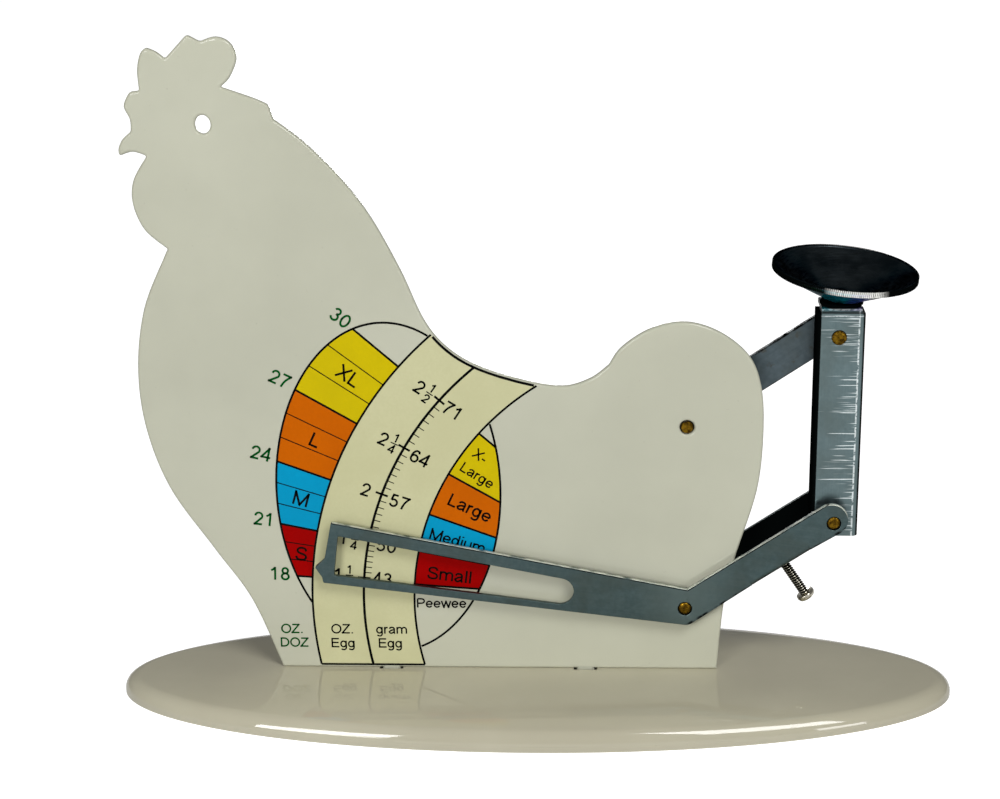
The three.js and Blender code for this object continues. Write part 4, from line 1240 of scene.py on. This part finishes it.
# Black along the top and foot edges of the link's right part, in patches.
link_level = arm_way.dot((upper_pivot[0], 0, upper_pivot[1]))
link_edges = combine(tree, "MAXIMUM", *(
    band_mask(tree, place, arm_way, link_level + low, link_level + high)
    for low, high in ((link_top - 0.45, link_top + 1), (-link_foot - 1, 0.25 - link_foot))))
link_patches = use_group(tree, clouds, place, 450.0, 0.3, 0.6)
link_right = band_mask(tree, place, left_to_right, upper_pivot[0] + 8, beyond, 1.0)
blacken(tree, inputs, combine(tree, "MULTIPLY", link_edges, link_patches, link_right))
end_material(tree, inputs)
make_piece("link_strip", link_solid, link_zinc, "link", ("upper_link",))
iron, tree, place = start_material("cast_iron")
iron_pits = use_group(tree, clouds, place, 900.0)
iron_drift = use_group(tree, clouds, place, 120.0)
iron_colour = blend_colours(tree, iron_drift, (0.1, 0.102, 0.105), (0.06, 0.058, 0.055))
end_material(tree, {
    "Base Color": blend_colours(tree, iron_pits, iron_colour, (0.03, 0.028, 0.026), 0.5), "Metallic": 0.8,
    "Roughness": spread(tree, iron_pits, 0.45, 0.7), "Normal": bump(tree, iron_pits, 0.03, 0.8)})
weight_profile = ring_profile(link_back, weight_back, weight_radius, pin_hole, weight_edge)
make_piece("weight", turned(weight_profile, (weight_spot.x, 0, weight_spot.y), 96), iron, "link",
           ("counterweight",))
stud_front = link_front - 0.5
stud_profile = [
    (0, stud_front), (2.8, stud_front), (3, stud_front + 0.15), (3, link_front), (1.6, link_front),
    (1.6, weight_back), (3, weight_back), (3, weight_back + 0.7), (2.7, weight_back + 1),
    (0, weight_back + 1)]
make_turned("link", (("weight_rivet", "counterweight_rivet", weight_spot, stud_profile, plain_zinc),))


# Post: a channel folded from plated sheet whose web is bent back at the top as the seat of the pan.
# Bright scratches run across its face to the right, where it was struck off the folding tool.
post_width = 12.5
post_shift = 0.5
post_front = 3.5
post_depth = 8.0
post_sheet = 1.25
post_fold = 1.4
post_drop = 4.96
seat_width = 10.5
seat_depth = 11.0
seat_rise = 0.8
seat_gap = 0.4
post_edge = 0.12
post_back = post_front + post_depth
post_top = pivot_spacing + link_top + arm_length * math.sin(arm_lean) + seat_rise + post_sheet
post_place = Vector((arm_pin.x + post_shift, 0, arm_pin.y))
pan_shift = 0.75
pan_depth = post_front + (seat_depth - post_sheet) / 2
pan_seat = Vector((arm_pin.x + pan_shift, pan_depth, arm_pin.y + post_top))
side = post_width / 2
channel = folded_channel(-side, side, post_front, post_back, post_sheet, post_fold, 12, 3)
channel_points, channel_faces = pressed_sheet(
    channel, [], -post_drop, post_top - post_sheet - seat_gap, post_edge)
channel_points = [post_place + Vector((x, y, z)) for x, z, y in channel_points]
bend = (post_front + post_fold, post_top - post_fold)
seat = [Vector((post_front, pivot_spacing)), Vector((post_front + post_sheet, pivot_spacing)),
        *sweep(bend, post_fold - post_sheet, math.pi, math.pi / 2, 4),
        Vector((post_front + seat_depth, post_top - post_sheet)), Vector((post_front + seat_depth, post_top)),
        *sweep(bend, post_fold, math.pi / 2, math.pi, 14)]
seat_points, seat_faces = pressed_sheet(seat, [], -seat_width / 2, seat_width / 2, post_edge)
seat_points = [post_place + Vector((x, y, z)) for y, x, z in seat_points]
web_back = post_front + post_sheet
post_holes = [bore(centre, pin_hole, post_front, web_back) for centre in (arm_pin, link_pin_spot)]
post_holes.append(turned([(0, -3), (1.8, -3), (1.8, 3), (0, 3)], pan_seat, 40, "Z"))
post_solid = fuse([(channel_points, channel_faces), (seat_points, seat_faces)], post_holes)
post_zinc, tree, place, inputs = make_zinc("post_zinc", (0.17, 0.235, 0.245), (0.125, 0.18, 0.19), 90)
face_left = post_place.x - side + 1.05
face_right = post_place.x + side - 1.5
across = add_node(tree, "ShaderNodeSeparateXYZ", {0: place}).outputs[0]
reach_right = spread(tree, across, 0.02, 0.17, face_left * mm, face_right * mm)
streak_noise = add_node(tree, "ShaderNodeTexNoise", {
    "Vector": vector_step(tree, "MULTIPLY", place, (60, 20, 1900)), "Scale": 1.0, "Detail": 2.0,
    "Roughness": 0.55}).outputs["Fac"]
streaks = spread(tree, combine(tree, "ADD", streak_noise, reach_right), 0.0, 1.0, 0.7, 0.77,
                 interpolation_type="SMOOTHSTEP")
# Painted highlights: a dotted bright line where the right fold begins, and two bright lines across the top
# bend.
highlight_dots = use_group(tree, clouds, place, 1100.0, 0.42, 0.52)
post_face = band_mask(tree, place, front_to_back, post_front - 1, post_front + 0.6)
streaks = combine(
    tree, "MULTIPLY", streaks, post_face, band_mask(tree, place, left_to_right, face_left, face_right, 0.15))
right_fold_highlight = combine(tree, "MULTIPLY", highlight_dots, post_face, band_mask(
    tree, place, left_to_right, face_right - 0.35, face_right + 0.05))
bend_highlights = combine(tree, "MAXIMUM", *(
    band_mask(tree, place, upwards, pan_seat.z + low, pan_seat.z + high, 0.06)
    for low, high in ((-0.75, -0.35), (-2.35, -2.1))))
bend_highlights = combine(tree, "MULTIPLY", bend_highlights, spread(tree, highlight_dots, 0.4, 1.0))
tint(tree, inputs, streaks, (0.8, 0.88, 0.88), 0.9)
tint(tree, inputs, right_fold_highlight, (0.85, 0.92, 0.92), 0.85)
tint(tree, inputs, bend_highlights, (0.85, 0.92, 0.92), 0.85)
# Painted dark reflections: black over the outer faces of both folds and a dark line across the top bend.
blacken(tree, inputs, combine(
    tree, "MAXIMUM", band_mask(tree, place, left_to_right, post_place.x - side - 1, face_left, 0.08),
    band_mask(tree, place, left_to_right, post_place.x + side - 0.62, post_place.x + side + 1, 0.15),
    band_mask(tree, place, upwards, pan_seat.z - 1.5, pan_seat.z - 1.15, 0.08)))
# The scratches and the painted highlights are made less metal.
scratches_and_highlights = combine(tree, "MAXIMUM", streaks, right_fold_highlight, bend_highlights)
inputs["Metallic"] = combine(tree, "MULTIPLY", inputs["Metallic"], spread(tree, scratches_and_highlights, 1.0, 0.3))
end_material(tree, inputs)
make_piece("channel_post", post_solid, post_zinc, "post", ("post",))
make_turned("post", (
    ("post_pin", "post_lower_pin", arm_pin, fork_pin, brass),
    ("post_rivet", "post_upper_pin", link_pin_spot,
     [(0, 2.9), (0.9, 2.93), (1.5, 3.05), (1.85, 3.3), (1.85, 3.5), (1.6, 3.5), (1.6, 15.4),
      (1.4, 15.6), (0, 15.6)], brass),
    ("post_front_washer", "post_front_spacer", arm_pin, ring_profile(cheek_back + running_gap, post_front),
     plain_zinc),
    ("post_rear_tube", "post_rear_spacer", arm_pin, ring_profile(web_back, rear_front - running_gap),
     plain_zinc),
    ("post_link_tube", "link_post_spacer", link_pin_spot, ring_profile(web_back, link_front - running_gap),
     plain_zinc),
    ("post_link_clip", "link_post_clip", link_pin_spot, link_clip, plain_zinc)))


# Pan: a shallow spun dish with a ribbed rim, set a little askew on a thin round seat and riveted to
# the post. It is dark spring steel with green to violet temper colours under its front; the rest of
# its outside and the seat are painted black as a dark reflection, and the front of the rim ribs
# carries a painted highlight.
washer_thickness = 0.8
pan_tilt = math.radians(4.8)
pan_lean = math.radians(5)
pan_radius = 18.8
pan_rise = 7.4
pan_floor = 5.0
pan_sheet = 0.8
rim_bead = 0.7
pan_sides = 160
rim_ribs = 236
pan_askew = math.hypot(math.tan(pan_tilt), math.tan(pan_lean))
pan_lift = pan_floor * pan_askew + 0.15
on_pan = Matrix.Translation(pan_seat + Vector((0, 0, washer_thickness + pan_lift)))
on_pan = on_pan @ Matrix.Rotation(pan_lean, 4, "X") @ Matrix.Rotation(pan_tilt, 4, "Y")
pan_dark_steel, tree, place = start_material("blued_steel")
lines = use_group(tree, drawn, place, (300, 300, 3000))
drift = use_group(tree, clouds, place, 160.0)
inside = add_node(tree, "ShaderNodeAttribute", attribute_name="inside").outputs["Fac"]
inputs = {
    "Base Color": blend_colours(tree, drift, (0.045, 0.056, 0.062), (0.02, 0.027, 0.032)),
    "Roughness": spread(tree, lines, 0.22, 0.4), "Specular Tint": (0.1, 0.22, 0.27, 1),
    "Normal": bump(tree, lines, 0.004, 0.5)}
under_front = combine(
    tree, "MULTIPLY", spread(tree, inside, 1.0, 0.0),
    band_mask(tree, place, front_to_back, -beyond, pan_seat.y - 1, 1.0),
    band_mask(tree, place, upwards, pan_seat.z + washer_thickness + 0.3, pan_seat.z + beyond, 0.2))
tempers = []
for low, high, temper in ((-12, -6.6, (0.006, 0.045, 0.012)), (-6.4, 1.6, (0.01, 0.42, 0.52)),
                          (0.4, 4.8, (0.1, 0.16, 0.55)), (3.8, 5.6, (0.28, 0.13, 0.4))):
    tempers.append(combine(tree, "MULTIPLY", under_front, band_mask(
        tree, place, left_to_right, pan_seat.x + low, pan_seat.x + high, 0.7)))
    tint(tree, inputs, tempers[-1], temper, 0.9)
# Painted dark reflection: outside its temper colours the dish, and all of the seat ring, is painted black
# with no metal and no gloss.
blacken(tree, inputs, spread(tree, combine(tree, "MAXIMUM", inside, *tempers), 1.0, 0.0))
end_material(tree, inputs)
seat_ring = turned(ring_profile(0, washer_thickness, 5.65, 1.8), (0, 0, 0), 64, "Z")
make_piece("pan_seat_ring", placed(Matrix.Translation(pan_seat), seat_ring), pan_dark_steel, "post",
           ("pan_washer",))
pan_slope = math.atan2(pan_rise, pan_radius - pan_floor)
pan_profile = [(1.5, 0), (pan_floor - 0.6, 0), (pan_floor, 0.06), (pan_floor + 0.6, 0.32)]
for step in range(11):
    turn = pan_slope - math.pi / 2 + step / 10 * 1.25 * math.pi
    pan_profile.append((
        pan_radius - rim_bead + rim_bead * math.cos(turn), pan_rise + rim_bead * math.sin(turn)))
pan_profile += [(pan_floor + 0.5, pan_sheet + 0.36), (pan_floor - 0.2, pan_sheet + 0.05),
                (pan_floor - 0.8, pan_sheet), (1.5, pan_sheet), (1.5, 0)]
dish_solid = placed(on_pan, turned(pan_profile, (0, 0, 0), pan_sides, "Z"))
dish = make_piece("egg_pan", dish_solid, pan_dark_steel, "post", ("pan",))
dish_up = on_pan.to_3x3() @ Vector((0, 0, 1))
dish_inside = dish.data.attributes.new("inside", "FLOAT", "FACE")
for face in dish.data.polygons:
    dish_inside.data[face.index].value = 1.0 if face.normal.dot(dish_up) > 0.1 else 0.0
rib_rows = []
for number in range(rim_ribs):
    turn = Matrix.Rotation(2 * math.pi * number / rim_ribs, 4, "Z")
    rib = on_pan @ turn @ Matrix.Translation((pan_radius - 0.08, 0, pan_rise))
    rib_rows.append((rib.to_translation(), rib.to_euler(), (1, 1, 1)))
# Rim ribs: a near-white painted highlight in spots on the front of the rim; elsewhere the ribs are painted
# black like the dish.
rim_painted_highlight, tree, place = start_material("rim_painted_highlight")
rim_spots = use_group(tree, clouds, place, 900.0, 0.3, 0.45)
rim_highlight_mask = combine(
    tree, "MULTIPLY", spread(tree, rim_spots, 0.5, 1.0),
    band_mask(tree, place, front_to_back, -beyond, pan_seat.y - 9, 2.5),
    band_mask(tree, place, left_to_right, pan_seat.x - 5, pan_seat.x + 8.5, 1.5))
inputs = {"Base Color": (0.95, 0.95, 0.9), "Roughness": spread(tree, rim_spots, 0.42, 0.3)}
blacken(tree, inputs, spread(tree, rim_highlight_mask, 1.0, 0.0))
inputs["Metallic"] = spread(tree, rim_highlight_mask, 0.0, 0.08)
end_material(tree, inputs)
dress(bars_on_points("rim_ribs", rib_rows, (0.4, 0.3, 1.4), rim_painted_highlight), rim_painted_highlight, "post")
rivet_foot = -washer_thickness - post_sheet - pan_lift - 2.6 * pan_askew - 0.15
rivet_profile = [(0, rivet_foot - 0.7), (2.3, rivet_foot - 0.7), (2.6, rivet_foot - 0.4), (2.6, rivet_foot),
                 (1.2, rivet_foot), (1.2, 0.95), (2.6, 0.95), (2.3, 1.2), (1.3, 1.6), (0, 1.65)]
seat_rivet = placed(on_pan, turned(rivet_profile, (0, 0, 0), 40, "Z"))
make_piece("seat_rivet", seat_rivet, plain_zinc[0], "post", ("pan_rivet",))
